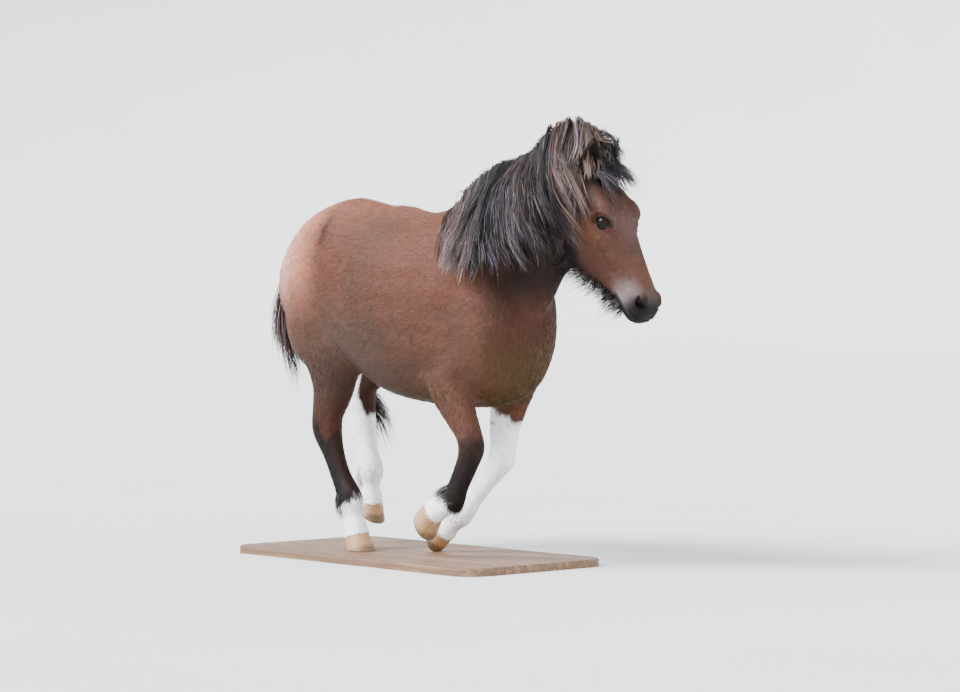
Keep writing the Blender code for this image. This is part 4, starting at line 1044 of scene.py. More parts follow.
def scatter(p, n, tris, uvs, weight, count, rng):
    """Random places over the skin: points, normals and unwrap places."""
    a, b, c = p[tris[:, 0]], p[tris[:, 1]], p[tris[:, 2]]
    area = np.linalg.norm(np.cross(b - a, c - a), axis=1) / 2
    centre = (a + b + c) / 3
    chance = area * weight(centre)
    pick = rng.choice(len(tris), size=count, p=chance / chance.sum())
    u, v = rng.random(count), rng.random(count)
    flip = u + v > 1
    u[flip], v[flip] = 1 - u[flip], 1 - v[flip]
    w = 1 - u - v
    bary = np.stack([w, u, v], axis=1)
    corner = tris[pick]
    place = np.einsum("ij,ijk->ik", bary, p[corner])
    normal = unit(np.einsum("ij,ijk->ik", bary, n[corner]))
    uv = np.einsum("ij,ijk->ik", bary, uvs[pick])
    return place, normal, uv


def tuft_sizes(p):
    """Length, width and lift of the tufts at each point."""
    x, y, z = p.T
    length = 0.0105 + 0.005 * cloud(p, 0.05, 41, 2)
    belly = smoothstep(0.50, 0.42, z) * (x > -0.25)
    length = length + 0.006 * belly
    width = np.full(len(p), 0.0017)
    lift = np.full(len(p), 0.07) + 0.06 * belly
    leg, station, far, axis, offset = leg_field(p)
    share = leg_share(p, leg, station)
    low = smoothstep(3.0, 6.0, station)
    length = length * (1 - share) + share * (0.0095 - 0.0025 * low)
    width = width * (1 - share) + share * (0.0015 - 0.0003 * low)
    fetlock = share * np.exp(-(((station - 8.3) / 0.6) ** 2))
    length = length + fetlock * 0.010
    on = head_share(p)
    t, f, a = head_coords(p)
    nose = smoothstep(0.24, 0.36, t)
    head_long = 0.0065 * (1 - nose) + 0.0030 * nose
    jaw = smoothstep(-0.10, -0.15, f) * smoothstep(0.30, 0.22, t)
    head_long = head_long + 0.008 * jaw
    length = length * (1 - on) + head_long * on
    width = width * (1 - on) + (0.0012 - 0.0004 * nose) * on
    lift = lift * (1 - on) + (0.10 + 0.12 * jaw) * on
    return length, width, lift


def build_tufts(name, place, normal, uv, rng, mat):
    """One joined piece of flat tapered tufts that lie along the coat."""
    count = len(place)
    length, width, lift = tuft_sizes(place)
    length = length * rng.uniform(0.7, 1.3, count)
    width = width * rng.uniform(0.8, 1.2, count)
    lift = lift * rng.uniform(0.5, 1.4, count)
    flow = coat_flow(place, normal)
    side = np.cross(normal, flow)
    stray = rng.normal(0, 0.10, count)
    flow = unit(flow + side * stray[:, None])
    side = np.cross(normal, flow)
    thick = width * 0.22
    sunk = place - normal * 0.0008
    mid = place + flow * (length * 0.5)[:, None] + normal * (length * 0.5 * lift + thick * 0.6)[:, None]
    bend = rng.normal(0, 0.05, count)
    tip = (
        place
        + flow * length[:, None]
        + side * (length * bend)[:, None]
        + normal * (length * lift * 0.95)[:, None]
    )
    half = (width / 2)[:, None]
    verts = np.empty((count, 7, 3))
    verts[:, 0] = sunk - side * half
    verts[:, 1] = sunk + side * half
    verts[:, 2] = sunk + normal * (thick + 0.0008)[:, None]
    verts[:, 3] = mid - side * half * 0.9 - normal * (thick * 0.4)[:, None]
    verts[:, 4] = mid + side * half * 0.9 - normal * (thick * 0.4)[:, None]
    verts[:, 5] = mid + normal * (thick * 0.6)[:, None]
    verts[:, 6] = tip
    local = np.array(
        (
            (0, 2, 1),
            (0, 1, 4), (0, 4, 3),
            (1, 2, 5), (1, 5, 4),
            (2, 0, 3), (2, 3, 5),
            (3, 4, 6), (4, 5, 6), (5, 3, 6),
        )
    )
    faces = (local[None] + np.arange(count)[:, None, None] * 7).reshape(-1, 3)
    mesh = mesh_of(name, verts.reshape(-1, 3), faces)
    mesh.shade_smooth()
    edge = np.array((-0.45, 0.45, 0.0, -0.45, 0.45, 0.0, 0.0))[None, :, None]
    soft = unit(normal[:, None, :] + side[:, None, :] * edge)
    mesh.normals_split_custom_set_from_vertices(soft.reshape(-1, 3).tolist())
    tone = rng.uniform(0.84, 1.16, count)
    base = coat_colour(place)
    blond = (rng.random(count) < 0.10)[:, None]
    colours = np.repeat((base * tone[:, None])[:, None, :], 7, axis=1)
    gain = np.array((0.92, 0.92, 0.94, 1.0, 1.0, 1.02, 1.06))[None, :, None]
    colours = colours * gain
    colours = np.where(blond[:, None, :], colours * 1.18, colours)
    paint(mesh, "Coat", colours.reshape(-1, 3))
    patch = np.array(((0, 0), (1, 0), (0.5, 0.1), (0.1, 0.5), (0.9, 0.5), (0.5, 0.6), (0.5, 1.0)))
    spots = uv[:, None, :] + (patch[None] - 0.5) * 0.003
    layer = mesh.uv_layers.new(name="OFBake")
    loops = spots.reshape(-1, 2)[faces.ravel()]
    layer.data.foreach_set("uv", loops.astype(np.float32).ravel())
    obj = new_object(name, mesh)
    show(obj, mat)
    return obj


# long hair


def strands_mesh(name, paths, widths, root_colour, tip_colour, uv, mat, facing):
    """Closed, three-sided tapering strands along paths given as strands x points x 3."""
    count, steps, _ = paths.shape
    ahead = np.empty_like(paths)
    ahead[:, 1:-1] = paths[:, 2:] - paths[:, :-2]
    ahead[:, 0] = paths[:, 1] - paths[:, 0]
    ahead[:, -1] = paths[:, -1] - paths[:, -2]
    ahead = unit(ahead)
    side = unit(np.cross(ahead, facing[:, None, :]))
    up = np.cross(side, ahead)
    half = widths[:, :, None] / 2
    deep = widths[:, :, None] * 0.38
    body = steps - 1
    verts = np.empty((count, body * 3 + 1, 3))
    for k in range(body):
        c = paths[:, k]
        verts[:, 3 * k] = c - side[:, k] * half[:, k]
        verts[:, 3 * k + 1] = c + side[:, k] * half[:, k]
        verts[:, 3 * k + 2] = c + up[:, k] * deep[:, k]
    verts[:, -1] = paths[:, -1]
    soft = np.empty_like(verts)
    for k in range(body):
        for i, turn in enumerate((-0.55, 0.55, 0.0)):
            soft[:, 3 * k + i] = unit(up[:, k] + side[:, k] * turn)
    soft[:, -1] = up[:, -1]
    local = [(0, 2, 1)]
    for k in range(body - 1):
        a, b = 3 * k, 3 * k + 3
        for i in range(3):
            j = (i + 1) % 3
            local += [(a + i, a + j, b + j), (a + i, b + j, b + i)]
    a = 3 * (body - 1)
    for i in range(3):
        local.append((a + i, a + (i + 1) % 3, body * 3))
    local = np.array(local)[:, ::-1]
    stride = body * 3 + 1
    faces = (local[None] + np.arange(count)[:, None, None] * stride).reshape(-1, 3)
    mesh = mesh_of(name, verts.reshape(-1, 3), faces)
    mesh.shade_smooth()
    mesh.normals_split_custom_set_from_vertices(soft.reshape(-1, 3).tolist())
    share = np.concatenate([np.repeat(np.linspace(0, 1, steps)[:-1], 3), [1.0]])
    blend = smoothstep(0.50, 1.0, share)[None, :, None]
    colours = root_colour[:, None, :] * (1 - blend) + tip_colour[:, None, :] * blend
    paint(mesh, "Coat", colours.reshape(-1, 3))
    patch = np.stack([np.tile((0.0, 1.0, 0.5), body)[: body * 3], share[:-1]], axis=1)
    patch = np.vstack([patch, [0.5, 1.0]])
    spots = uv[:, None, :] + (patch[None] - 0.5) * 0.003
    layer = mesh.uv_layers.new(name="OFBake")
    loops = spots.reshape(-1, 2)[faces.ravel()]
    layer.data.foreach_set("uv", loops.astype(np.float32).ravel())
    obj = new_object(name, mesh)
    show(obj, mat)
    return obj


class Surface:
    """The finished skin, for laying hair on it."""

    def __init__(self, skin, uvs, tris):
        self.tree = BVHTree.FromObject(skin, bpy.context.evaluated_depsgraph_get())
        self.places = uvs.mean(axis=1)
        self.polygon = np.empty(len(skin.data.loop_triangles), dtype=np.int32)
        skin.data.loop_triangles.foreach_get("polygon_index", self.polygon)
        self.first = {}
        for index, polygon in enumerate(self.polygon.tolist()):
            self.first.setdefault(polygon, index)

    def near(self, point):
        place, normal, index, _ = self.tree.find_nearest(Vector(point))
        return np.array(place), np.array(normal), self.places[self.first[index]]

    def laid(self, path, lifts, start=1):
        """Pushes the points of one path out of the skin to the given lifts."""
        out = path.copy()
        for k in range(start, len(path)):
            place, normal, _, _ = self.tree.find_nearest(Vector(path[k]))
            depth = (Vector(path[k]) - place).dot(normal)
            if depth < lifts[k]:
                out[k] = np.array(place + normal * lifts[k])
        return out


def hair_group(name, guides, per_lock, spread, width, steps, surface, rng, mat, lift, wild):
    """Strands gathered round guide locks: each guide is (path function, size, warmth)."""
    shares = np.linspace(0, 1, steps)
    paths, facing, places, tones, groups, thin = [], [], [], [], [], []
    for guide, size, tone, kind in guides:
        core = np.array([guide(u) for u in shares])
        root, normal, uv = surface.near(core[0])
        axis = unit(np.array(core[min(3, steps - 1)] - core[0]))
        across = unit(np.cross(axis, normal) + 1e-6)
        group = np.array((np.clip(kind + rng.normal(0, 0.16), 0, 1), rng.random(), rng.random()))
        close = rng.uniform(0.55, 0.90)
        for _ in range(per_lock):
            da, db = rng.normal(0, 0.5, 2)
            fan = 1.0 - close * shares**1.2
            offset = across[None] * (da * size * spread * fan)[:, None]
            offset = offset + normal[None] * (db * size * spread * 0.35 * fan)[:, None]
            free = rng.random() < wild
            wave = np.sin(shares * rng.uniform(4, 11) + rng.uniform(0, 6.3)) * 0.0035 * shares
            offset = offset + across[None] * (wave * rng.normal(0, 1.0 + 2.0 * free))[:, None]
            stray = rng.normal(0, 1, 3) * 0.006 * (1 + 3.2 * free)
            offset = offset + stray[None] * (shares**2)[:, None]
            cut = rng.uniform(0.80, 1.05)
            line = np.array([guide(u) for u in shares * cut]) + offset
            line = surface.laid(line, lift * (0.6 + shares * 1.6 * rng.uniform(0.4, 1.3)))
            foot, out, _, _ = surface.tree.find_nearest(Vector(line[0]))
            line[0] = np.array(foot) - np.array(out) * 0.004
            paths.append(line)
            facing.append(unit(normal + across * da * 1.1 + rng.normal(0, 0.10, 3)))
            places.append(uv)
            tones.append(tone)
            groups.append(group)
            thin.append(0.6 if free else 1.0)
    return strand_pieces(name, paths, width, thin, facing, places, tones, groups, rng, mat)


def strand_pieces(name, paths, width, thin, facing, places, tones, groups, rng, mat):
    """Tapers and colours the strands and joins them in pieces of a bounded size."""
    paths, facing, places = np.array(paths), np.array(facing), np.array(places)
    count, steps = paths.shape[:2]
    shares = np.linspace(0, 1, steps)
    taper = np.array([0.75, *(np.ones(steps - 1))]) * (1 - 0.75 * shares**2.2)
    widths = width * (rng.uniform(0.6, 1.35, count) * np.array(thin))[:, None] * taper[None]
    root_colour, tip_colour = dark_tones(np.array(tones), np.array(groups), rng)
    limit = 190000 // (6 * (steps - 2) + 4)
    pieces = []
    for k in range(0, count, limit):
        s = slice(k, k + limit)
        pieces.append(
            strands_mesh(
                f"{name}_{k // limit + 1}", paths[s], widths[s], root_colour[s], tip_colour[s],
                places[s], mat, facing[s],
            )
        )
    return pieces


def dark_tones(tone, group, rng):
    """Black-brown hair, lock by lock black, blue-grey painted sheen, brown or pale; tone 0 is black, 1
    ginger.
    """
    count = len(tone)
    kind = np.where(rng.random(count) < 0.08, rng.random(count), group[:, 0])
    root = np.repeat(srgb(SMOKE)[None], count, axis=0)
    root = mixed(root, srgb(BROWN_BLACK), group[:, 1])
    # painted sheen: blue-grey gloss laid on some locks
    steel_sheen = smoothstep(0.50, 0.62, kind) * smoothstep(0.82, 0.74, kind)
    root = mixed(root, srgb(STEEL_SHEEN), steel_sheen * rng.uniform(0.15, 0.75, count))
    root = mixed(root, srgb(HAIR_BROWN), smoothstep(0.78, 0.84, kind) * rng.uniform(0.3, 0.9, count))
    root = mixed(root, srgb(HAIR_PALE), smoothstep(0.90, 0.94, kind) * rng.uniform(0.2, 0.7, count))
    root = mixed(root, srgb(GINGER), np.clip(tone * rng.uniform(0.3, 1.0, count), 0, 0.8))
    pale = np.clip(0.10 + 0.55 * tone + 0.35 * (group[:, 2] - 0.5) + rng.normal(0, 0.12, count), 0, 0.85)
    tip = mixed(root, srgb(HAIR_PALE) * 0.9, pale * smoothstep(0.15, 0.9, kind))
    tip = mixed(tip, srgb(BLOND), np.clip(tone * pale, 0, 0.8))
    gain = np.minimum(0.26 + 1.55 * group[:, 2] ** 2, 1.35 - 0.5 * tone) * rng.uniform(0.80, 1.25, count)
    gain = gain[:, None]
    return root * gain, tip * gain


# Guide curves of the mane and forelock from the withers over the poll to the brow: root, crown,
# and three places down to the tip; the last curves grow from the head
HAIR_CURVES = (
    (
        (0.188, 0.003, 0.915), (0.205, -0.030, 0.916), (0.265, -0.100, 0.863),
        (0.302, -0.150, 0.798), (0.323, -0.180, 0.742),
    ),
    (
        (0.252, 0.011, 0.947), (0.264, -0.020, 0.973), (0.329, -0.100, 0.893),
        (0.351, -0.155, 0.810), (0.366, -0.190, 0.730),
    ),
    (
        (0.313, 0.021, 0.968), (0.325, -0.010, 1.014), (0.378, -0.100, 0.917),
        (0.395, -0.155, 0.816), (0.415, -0.185, 0.732),
    ),
    (
        (0.366, 0.031, 0.984), (0.375, -0.010, 1.020), (0.409, -0.100, 0.922),
        (0.431, -0.145, 0.822), (0.473, -0.175, 0.734),
    ),
    (
        (0.404, 0.038, 0.995), (0.408, -0.000, 1.030), (0.435, -0.095, 0.940),
        (0.484, -0.135, 0.839), (0.560, -0.155, 0.739),
    ),
    (
        (0.449, 0.046, 1.004), (0.451, 0.010, 1.043), (0.473, -0.070, 0.965),
        (0.538, -0.110, 0.863), (0.607, -0.120, 0.764),
    ),
    (
        (0.486, 0.054, 1.007), (0.472, 0.020, 1.074), (0.510, -0.050, 0.977),
        (0.569, -0.080, 0.888), (0.645, -0.080, 0.789),
    ),
    (
        (0.524, 0.061, 1.007), (0.483, 0.040, 1.108), (0.524, -0.020, 1.002),
        (0.586, -0.045, 0.913), (0.657, -0.045, 0.819),
    ),
    (
        (0.560, 0.064, 1.008), (0.512, 0.060, 1.135), (0.533, 0.005, 1.036),
        (0.598, -0.020, 0.950), (0.635, -0.020, 0.875),
    ),
    (
        (0.584, 0.068, 1.009), (0.551, 0.070, 1.125), (0.585, 0.020, 1.050),
        (0.615, 0.000, 0.981), (0.634, 0.000, 0.925),
    ),
    (
        (0.590, 0.070, 1.010), (0.576, 0.080, 1.110), (0.630, 0.045, 1.049),
        (0.652, 0.015, 0.992), (0.646, 0.008, 0.949),
    ),
    (
        (0.596, 0.074, 1.010), (0.589, 0.080, 1.096), (0.653, 0.070, 1.055),
        (0.674, 0.055, 1.011), (0.667, 0.040, 0.972),
    ),
    (
        (0.598, 0.082, 1.009), (0.583, 0.090, 1.086), (0.650, 0.095, 1.043),
        (0.670, 0.095, 1.002), (0.677, 0.085, 0.971),
    ),
    (
        (0.592, 0.096, 1.004), (0.549, 0.110, 1.076), (0.601, 0.135, 1.053),
        (0.632, 0.140, 1.008), (0.649, 0.128, 0.972),
    ),
)
HEAD_CURVE = 7
MANE_GUIDES = 210
MANE_STRANDS = 31
LEFT_GUIDES = 30

# Hair that fills in over the brow and hangs down beside the near cheek: root down the face,
# forward, aside, then the tip as x, y, z, the rise and the warmth of the colour
FORELOCK = (
    (0.022, 0.006, -0.024, (0.070, 0.035, -0.034), 0.080, 0.10),
    (0.022, 0.006, 0.000, (0.062, 0.045, -0.034), 0.080, 0.05),
    (0.028, 0.006, -0.034, (0.056, 0.030, -0.034), 0.045, 0.15),
    (0.028, 0.006, 0.020, (0.046, 0.040, -0.036), 0.045, 0.05),
    (0.034, 0.004, -0.040, (0.046, 0.020, -0.038), 0.036, 0.20),
    (0.004, -0.020, -0.036, (-0.010, -0.050, -0.150), 0.090, 0.55),
    (0.010, -0.028, -0.046, (-0.010, -0.042, -0.180), 0.050, 0.45),
    (0.004, -0.034, -0.044, (-0.020, -0.042, -0.200), 0.060, 0.35),
    (0.000, -0.020, 0.032, (-0.010, 0.060, -0.120), 0.100, 0.15),
    (0.004, -0.018, 0.042, (0.000, 0.050, -0.140), 0.060, 0.15),
)
FETLOCK_STATION = -3
FEATHER_STRANDS = 320
FORELOCK_GUIDES = 110
FORELOCK_STRANDS = 24


def fall_path(root, ahead, out, rise, fall):
    def path(u):
        drop = rise * u - (rise + fall) * u**2
        return root + np.array((ahead * u**1.3, -out * max(u, 0) ** 0.8, drop))

    return path


def crest_frame(share):
    """Centre, half sizes and upward direction of the neck at a share of the mane's run."""
    rows = smooth_rows(NECK)
    at = share * (len(rows) - 1)
    k = min(int(at), len(rows) - 2)
    row = rows[k] + (rows[k + 1] - rows[k]) * (at - k)
    angle = math.radians(row[5])
    return row[:3], row[3], row[4], np.array((-math.sin(angle), 0.0, math.cos(angle)))


def eased(a, b, c, d, u):
    """A point between b and c on the smooth curve through four places."""
    return 0.5 * (
        2 * b + (c - a) * u + (2 * a - 5 * b + 4 * c - d) * u**2 + (3 * b - a - 3 * c + d) * u**3
    )


def curve_point(curve, share):
    """A point at a share of a guide curve, which runs on straight past its tip."""
    at = min(max(share, 0.0), 1.15) * (len(curve) - 1)
    k = min(int(at), len(curve) - 2)
    before = curve[max(k - 1, 0)]
    beyond = curve[min(k + 2, len(curve) - 1)]
    return eased(before, curve[k], curve[k + 1], beyond, at - k)


def curve_between(place, shift):
    """The guide curve at a place in the row of curves, drawn in to the skin by the shift."""
    rows = np.array(HAIR_CURVES)
    k = min(int(place), len(rows) - 2)
    curve = rows[k] + (rows[k + 1] - rows[k]) * (place - k)
    drawn = curve.copy()
    drawn[1] = curve[1] + (curve[0] - curve[1]) * 0.75 * shift
    drawn[2:] = curve[2:] + (curve[0] - curve[2:]) * 0.16 * shift
    drawn[2:, 2] -= 0.02 * shift
    return drawn


def curve_guide(curve):
    return lambda u: curve_point(curve, u)


# How the hair's colour runs along the row of curves: 0 black, 0.65 blue-grey painted sheen, 0.9 brown, 1 pale
KIND_PLACES = (0.0, 1.2, 2.2, 3.2, 4.4, 5.4, 6.4, 7.6, 9.0, 10.5, 13.0)
KINDS = (0.90, 0.80, 0.30, 0.46, 0.66, 0.28, 0.50, 0.84, 0.80, 0.26, 0.30)


def crown_guides(first, last, count, size, rng):
    """Guides spread over the curves from first to last, in layers from the skin outward."""
    guides = []
    shares = np.linspace(0, 1, 12)
    for k in range(count):
        place = first + (last - first) * (k + rng.random()) / count
        shift = rng.random() ** 1.3
        curve = curve_between(place, shift)
        long = rng.uniform(0.72, 1.05) * (1 - 0.20 * float(smoothstep(8.6, 10.0, place)))
        curve = np.array([curve_point(curve, long * u) for u in shares])
        ahead = unit(np.gradient(curve, axis=0))
        across = unit(np.cross(ahead, np.array((0.35, -1.0, 0.1))))
        phase, cycles = rng.uniform(0, 1), rng.uniform(0.8, 2.2)
        wave = np.sin(2 * math.pi * (phase + cycles * shares)) * rng.uniform(0.003, 0.014) * shares
        curve = curve + across * wave[:, None]
        curve = curve + shares[:, None] * rng.normal(0, (0.022, 0.008, 0.014), 3)[None]
        top = 1.0 - abs(place - 8.0) / 3.0
        warm = 0.02 + 0.75 * max(0.0, top) * (rng.random() < 0.65) + 0.4 * (rng.random() < 0.06)
        warm += 0.5 * (place < 1.8) * (rng.random() < 0.6)
        kind = float(np.interp(place, KIND_PLACES, KINDS)) + 0.14 * math.sin(place * 9.0)
        guides.append((curve_guide(curve), size, float(min(warm, 1.0)), kind))
    return guides


def build_mane(surface, mat, rng):
    guides = crown_guides(0.0, HEAD_CURVE, MANE_GUIDES, 0.038, rng)
    for k in range(LEFT_GUIDES):
        share = 0.22 + 0.76 * (k + rng.random()) / LEFT_GUIDES
        centre, half, deep, up = crest_frame(share)
        angle = math.radians(-24 + rng.uniform(-10, 10))
        root = centre + up * deep * math.cos(angle) - np.array((0, half * math.sin(angle), 0))
        fall = 0.10 * rng.uniform(0.7, 1.2)
        path = fall_path(root, 0.02 - 0.05 * share, -0.045, 0.07 * share, fall)
        guides.append((path, 0.034, 0.05, 0.3))
    return hair_group("mane", guides, MANE_STRANDS, 0.60, 0.0024, 10, surface, rng, mat, 0.004, 0.05)


def build_forelock(surface, mat, rng):
    guides = crown_guides(HEAD_CURVE, len(HAIR_CURVES) - 1.001, FORELOCK_GUIDES, 0.034, rng)
    for t, f, a, tip, rise, warm in FORELOCK:
        for _ in range(4):
            root = np.array(on_head(t, f, a + rng.normal(0, 0.006)))
            reach = np.array(tip) + rng.normal(0, 0.012, 3)
            up = rise * rng.uniform(0.45, 1.15)

            def path(u, root=root, reach=reach, up=up):
                level = np.array((reach[0] * u, reach[1] * u, 0))
                return root + level + np.array((0, 0, up * u + (reach[2] - up) * u**2))

            guides.append((path, 0.024, float(np.clip(warm + rng.normal(0, 0.12), 0, 1)), 0.35 + warm))
    return hair_group(
        "forelock", guides, FORELOCK_STRANDS, 0.6, 0.0022, 9, surface, rng, mat, 0.003, 0.10
    )


def build_beard(surface, mat, rng):
    """The dark fringe along the underside of the jaw and the hair behind the chin."""
    guides = []
    for _ in range(180):
        share = rng.random()
        t = 0.100 + 0.250 * share
        f = -0.166 + 0.064 * share
        a = rng.normal(0, 0.024) * (1 - 0.35 * share)
        root = np.array(on_head(t, f, a))
        long = (0.072 - 0.036 * share) * rng.uniform(0.6, 1.2)
        lean = unit(np.array((-0.55 + rng.normal(0, 0.15), rng.normal(0, 0.14) + a * 3, -1.0))) * long

        def path(u, root=root, lean=lean):
            return root + lean * u + np.array((0.012 * math.sin(4.5 * u) * u - 0.008 * u * u, 0, 0))

        guides.append((path, 0.020, 0.10, 0.3))
    return hair_group("beard", guides, 14, 1.0, 0.0012, 6, surface, rng, mat, 0.002, 0.15)


def build_feather(surface, mat, rng):
    """Longer hair behind each fetlock, in the colour of the leg there."""
    for name, rows in LEGS.items():
        fetlock = Vector(rows[FETLOCK_STATION][:3])
        along = (Vector(rows[-2][:3]) - fetlock).normalized()
        back = Vector((-1.0, 0.0, 0.0))
        back = (back - along * back.dot(along)).normalized()
        beside = along.cross(back)
        shares = np.linspace(0, 1, 6)
        paths, facing, places, colours = [], [], [], []
        for _ in range(FEATHER_STRANDS):
            turn = rng.normal(0, 0.55)
            out = back * math.cos(turn) + beside * math.sin(turn)
            start = fetlock + out * 0.020 + along * rng.uniform(-0.022, 0.016)
            foot, normal, uv = surface.near(start)
            long = rng.uniform(0.018, 0.040) * math.cos(turn * 0.6)
            go = unit(np.array(along) * 1.0 + normal * rng.uniform(0.20, 0.50) + rng.normal(0, 0.10, 3))
            droop = shares[:, None] ** 2 * np.array(along) * 0.3
            line = foot + (go * shares[:, None] + droop) * long
            line = surface.laid(line, np.full(6, 0.0012), start=2)
            line[0] = foot - normal * 0.002
            line[:, 2] = np.maximum(line[:, 2], GROUND + 0.004)
            paths.append(line)
            facing.append(normal)
            places.append(uv)
            colours.append(foot)
        paths = np.array(paths)
        widths = np.full((FEATHER_STRANDS, 6), 0.0016) * (1 - 0.7 * shares**1.5)[None]
        root = coat_colour(np.array(colours)) * rng.uniform(0.80, 1.08, FEATHER_STRANDS)[:, None]
        tip = root * rng.uniform(0.95, 1.15, FEATHER_STRANDS)[:, None]
        strands_mesh(
            name.replace("leg", "feather"), paths, widths, root, tip, np.array(places), mat,
            np.array(facing),
        )


def along_path(table, share):
    """Centre and spread of a fall of hair at a share of its length."""
    at = min(max(share, 0.0), 1.0) * (len(table) - 1)
    k = min(int(at), len(table) - 2)
    row = table[k] + (table[k + 1] - table[k]) * (at - k)
    return row[:3], row[3]


def build_tail(surface, mat, rng):
    falls = {
        "far": np.array(smooth_rows(TAIL_FALL, 0.02)),
        "near": np.array(smooth_rows(TAIL_NEAR, 0.02)),
    }
    guides = []
    for k in range(64):
        turn = math.radians(137.5) * k
        start = 0.02 + 0.34 * rng.random()
        end = rng.uniform(0.72, 1.0)
        table = falls["near" if k % 3 == 0 else "far"]
        out = np.array((math.cos(turn), math.sin(turn), 0.0))
        reach = rng.uniform(0.2, 1.05)

        def path(u, start=start, end=end, out=out, table=table, reach=reach):
            place, spread = along_path(table, start + (end - start) * u)
            return place + out * spread * reach * min(1.0, 0.10 + 1.6 * u)

        pale = 0.45 if k % 3 == 0 and rng.random() < 0.5 else 0.15 + 0.25 * rng.random()
        guides.append((path, 0.030, pale))
    return tail_group("tail", guides, 34, 0.0026, 10, surface, rng, mat)


def tail_group(name, guides, per_lock, width, steps, surface, rng, mat):
    """Strands of the tail, hanging free of the body."""
    shares = np.linspace(0, 1, steps)
    paths, facing, places, tones, groups, thin = [], [], [], [], [], []
    for guide, size, tone in guides:
        core = np.array([guide(u) for u in shares])
        _, normal, uv = surface.near(core[0])
        group = rng.random(3)
        outward = unit(core[steps // 2] - np.array((-0.50, 0.07, core[steps // 2][2])))
        for _ in range(per_lock):
            aside = rng.normal(0, 0.30, 3)
            offset = aside[None] * size * (1.0 - 0.6 * shares**1.5)[:, None]
            free = rng.random() < 0.08
            wave = np.sin(shares * rng.uniform(4, 10) + rng.uniform(0, 6.3)) * 0.005 * shares
            offset = offset + wave[:, None] * rng.normal(0, 1, 3)[None]
            stray = rng.normal(0, 1, 3) * 0.007 * (1 + 1.2 * free)
            offset = offset + stray[None] * (shares**2)[:, None]
            cut = rng.uniform(0.80, 1.04)
            line = np.array([guide(u) for u in shares * cut]) + offset
            line = surface.laid(line, np.full(steps, 0.004), start=2)
            line[:, 2] = np.maximum(line[:, 2], GROUND + 0.03)
            line[:, 1] = np.minimum(line[:, 1], TAIL_ASIDE + 0.004 * rng.random())
            paths.append(line)
            facing.append(unit(outward + aside * 1.5))
            places.append(uv)
            tones.append(tone)
            groups.append(group)
            thin.append(0.6 if free else 1.0)
    return strand_pieces(name, paths, width, thin, facing, places, tones, groups, rng, mat)


# ears, eyes, hooves


def ear_section(u):
    """Half width, depth of the back and depth of the cup at a share of the ear's height."""
    if u < 0.35:
        wide = 0.60 + 0.40 * math.sin(u / 0.35 * math.pi / 2)
    else:
        wide = math.cos((u - 0.35) / 0.65 * math.pi / 2) ** 0.75
    wide = max(wide, 0.05)
    cup = min(1.0, max(0.0, (u - 0.16) / 0.18))
    return EAR_HALF_WIDTH * wide, EAR_CUP * wide, cup


def build_ear(name, sign, mat):
    """An ear with a hollow cup, rounded rims and its foot in the head."""
    rise, opening, across = ear_axes(sign)
    foot = on_head(EAR_BASE[0], EAR_BASE[1], sign * EAR_BASE[2]) - rise * EAR_SINK
    rows, columns = 26, 18
    rings = []
    for i in range(rows + 1):
        u = i / rows
        half, deep, cup = ear_section(u)
        half, deep = half * 0.94, deep * 0.94
        wall = min(0.0036, half * 0.4)
        curve = opening * 0.010 * (u - 0.3) ** 2 - across * sign * 0.006 * max(u - 0.5, 0)
        centre = foot + rise * (EAR_LENGTH + EAR_SINK - 0.003) * u + curve
        points = []
        for k in range(columns + 1):
            turn = math.pi * k / columns
            points.append(centre + across * half * math.cos(turn) - opening * deep * math.sin(turn))
        for k in range(columns - 1, 0, -1):
            turn = math.pi * k / columns
            inner = (deep - wall) * cup - wall * (1 - cup)
            points.append(
                centre + across * (half - wall) * math.cos(turn) - opening * inner * math.sin(turn)
            )
        rings.append(points)
    bm = bmesh.new()
    loft(bm, rings)
    bmesh.ops.triangulate(bm, faces=bm.faces)
    bmesh.ops.smooth_vert(bm, verts=bm.verts, factor=0.3, use_axis_x=True, use_axis_y=True, use_axis_z=True)
    ear = object_from(bm, name + "_skin")
    ear.data.shade_smooth()
    p = points_of(ear.data)
    q = p - np.array(foot)
    inside = smoothstep(-0.004, 0.004, q @ np.array(opening) + 0.006)
    height = q @ np.array(rise) / (EAR_LENGTH + EAR_SINK)
    colours = mixed(np.repeat(srgb(BAY_DARK)[None], len(p), axis=0), srgb(BROWN_BLACK), inside * 0.7)
    colours = mixed(colours, srgb(SMOKE), smoothstep(0.75, 1.0, height) * 0.7)
    paint(ear.data, "Coat", colours)
    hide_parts(name)
    show(ear, mat)
    return ear


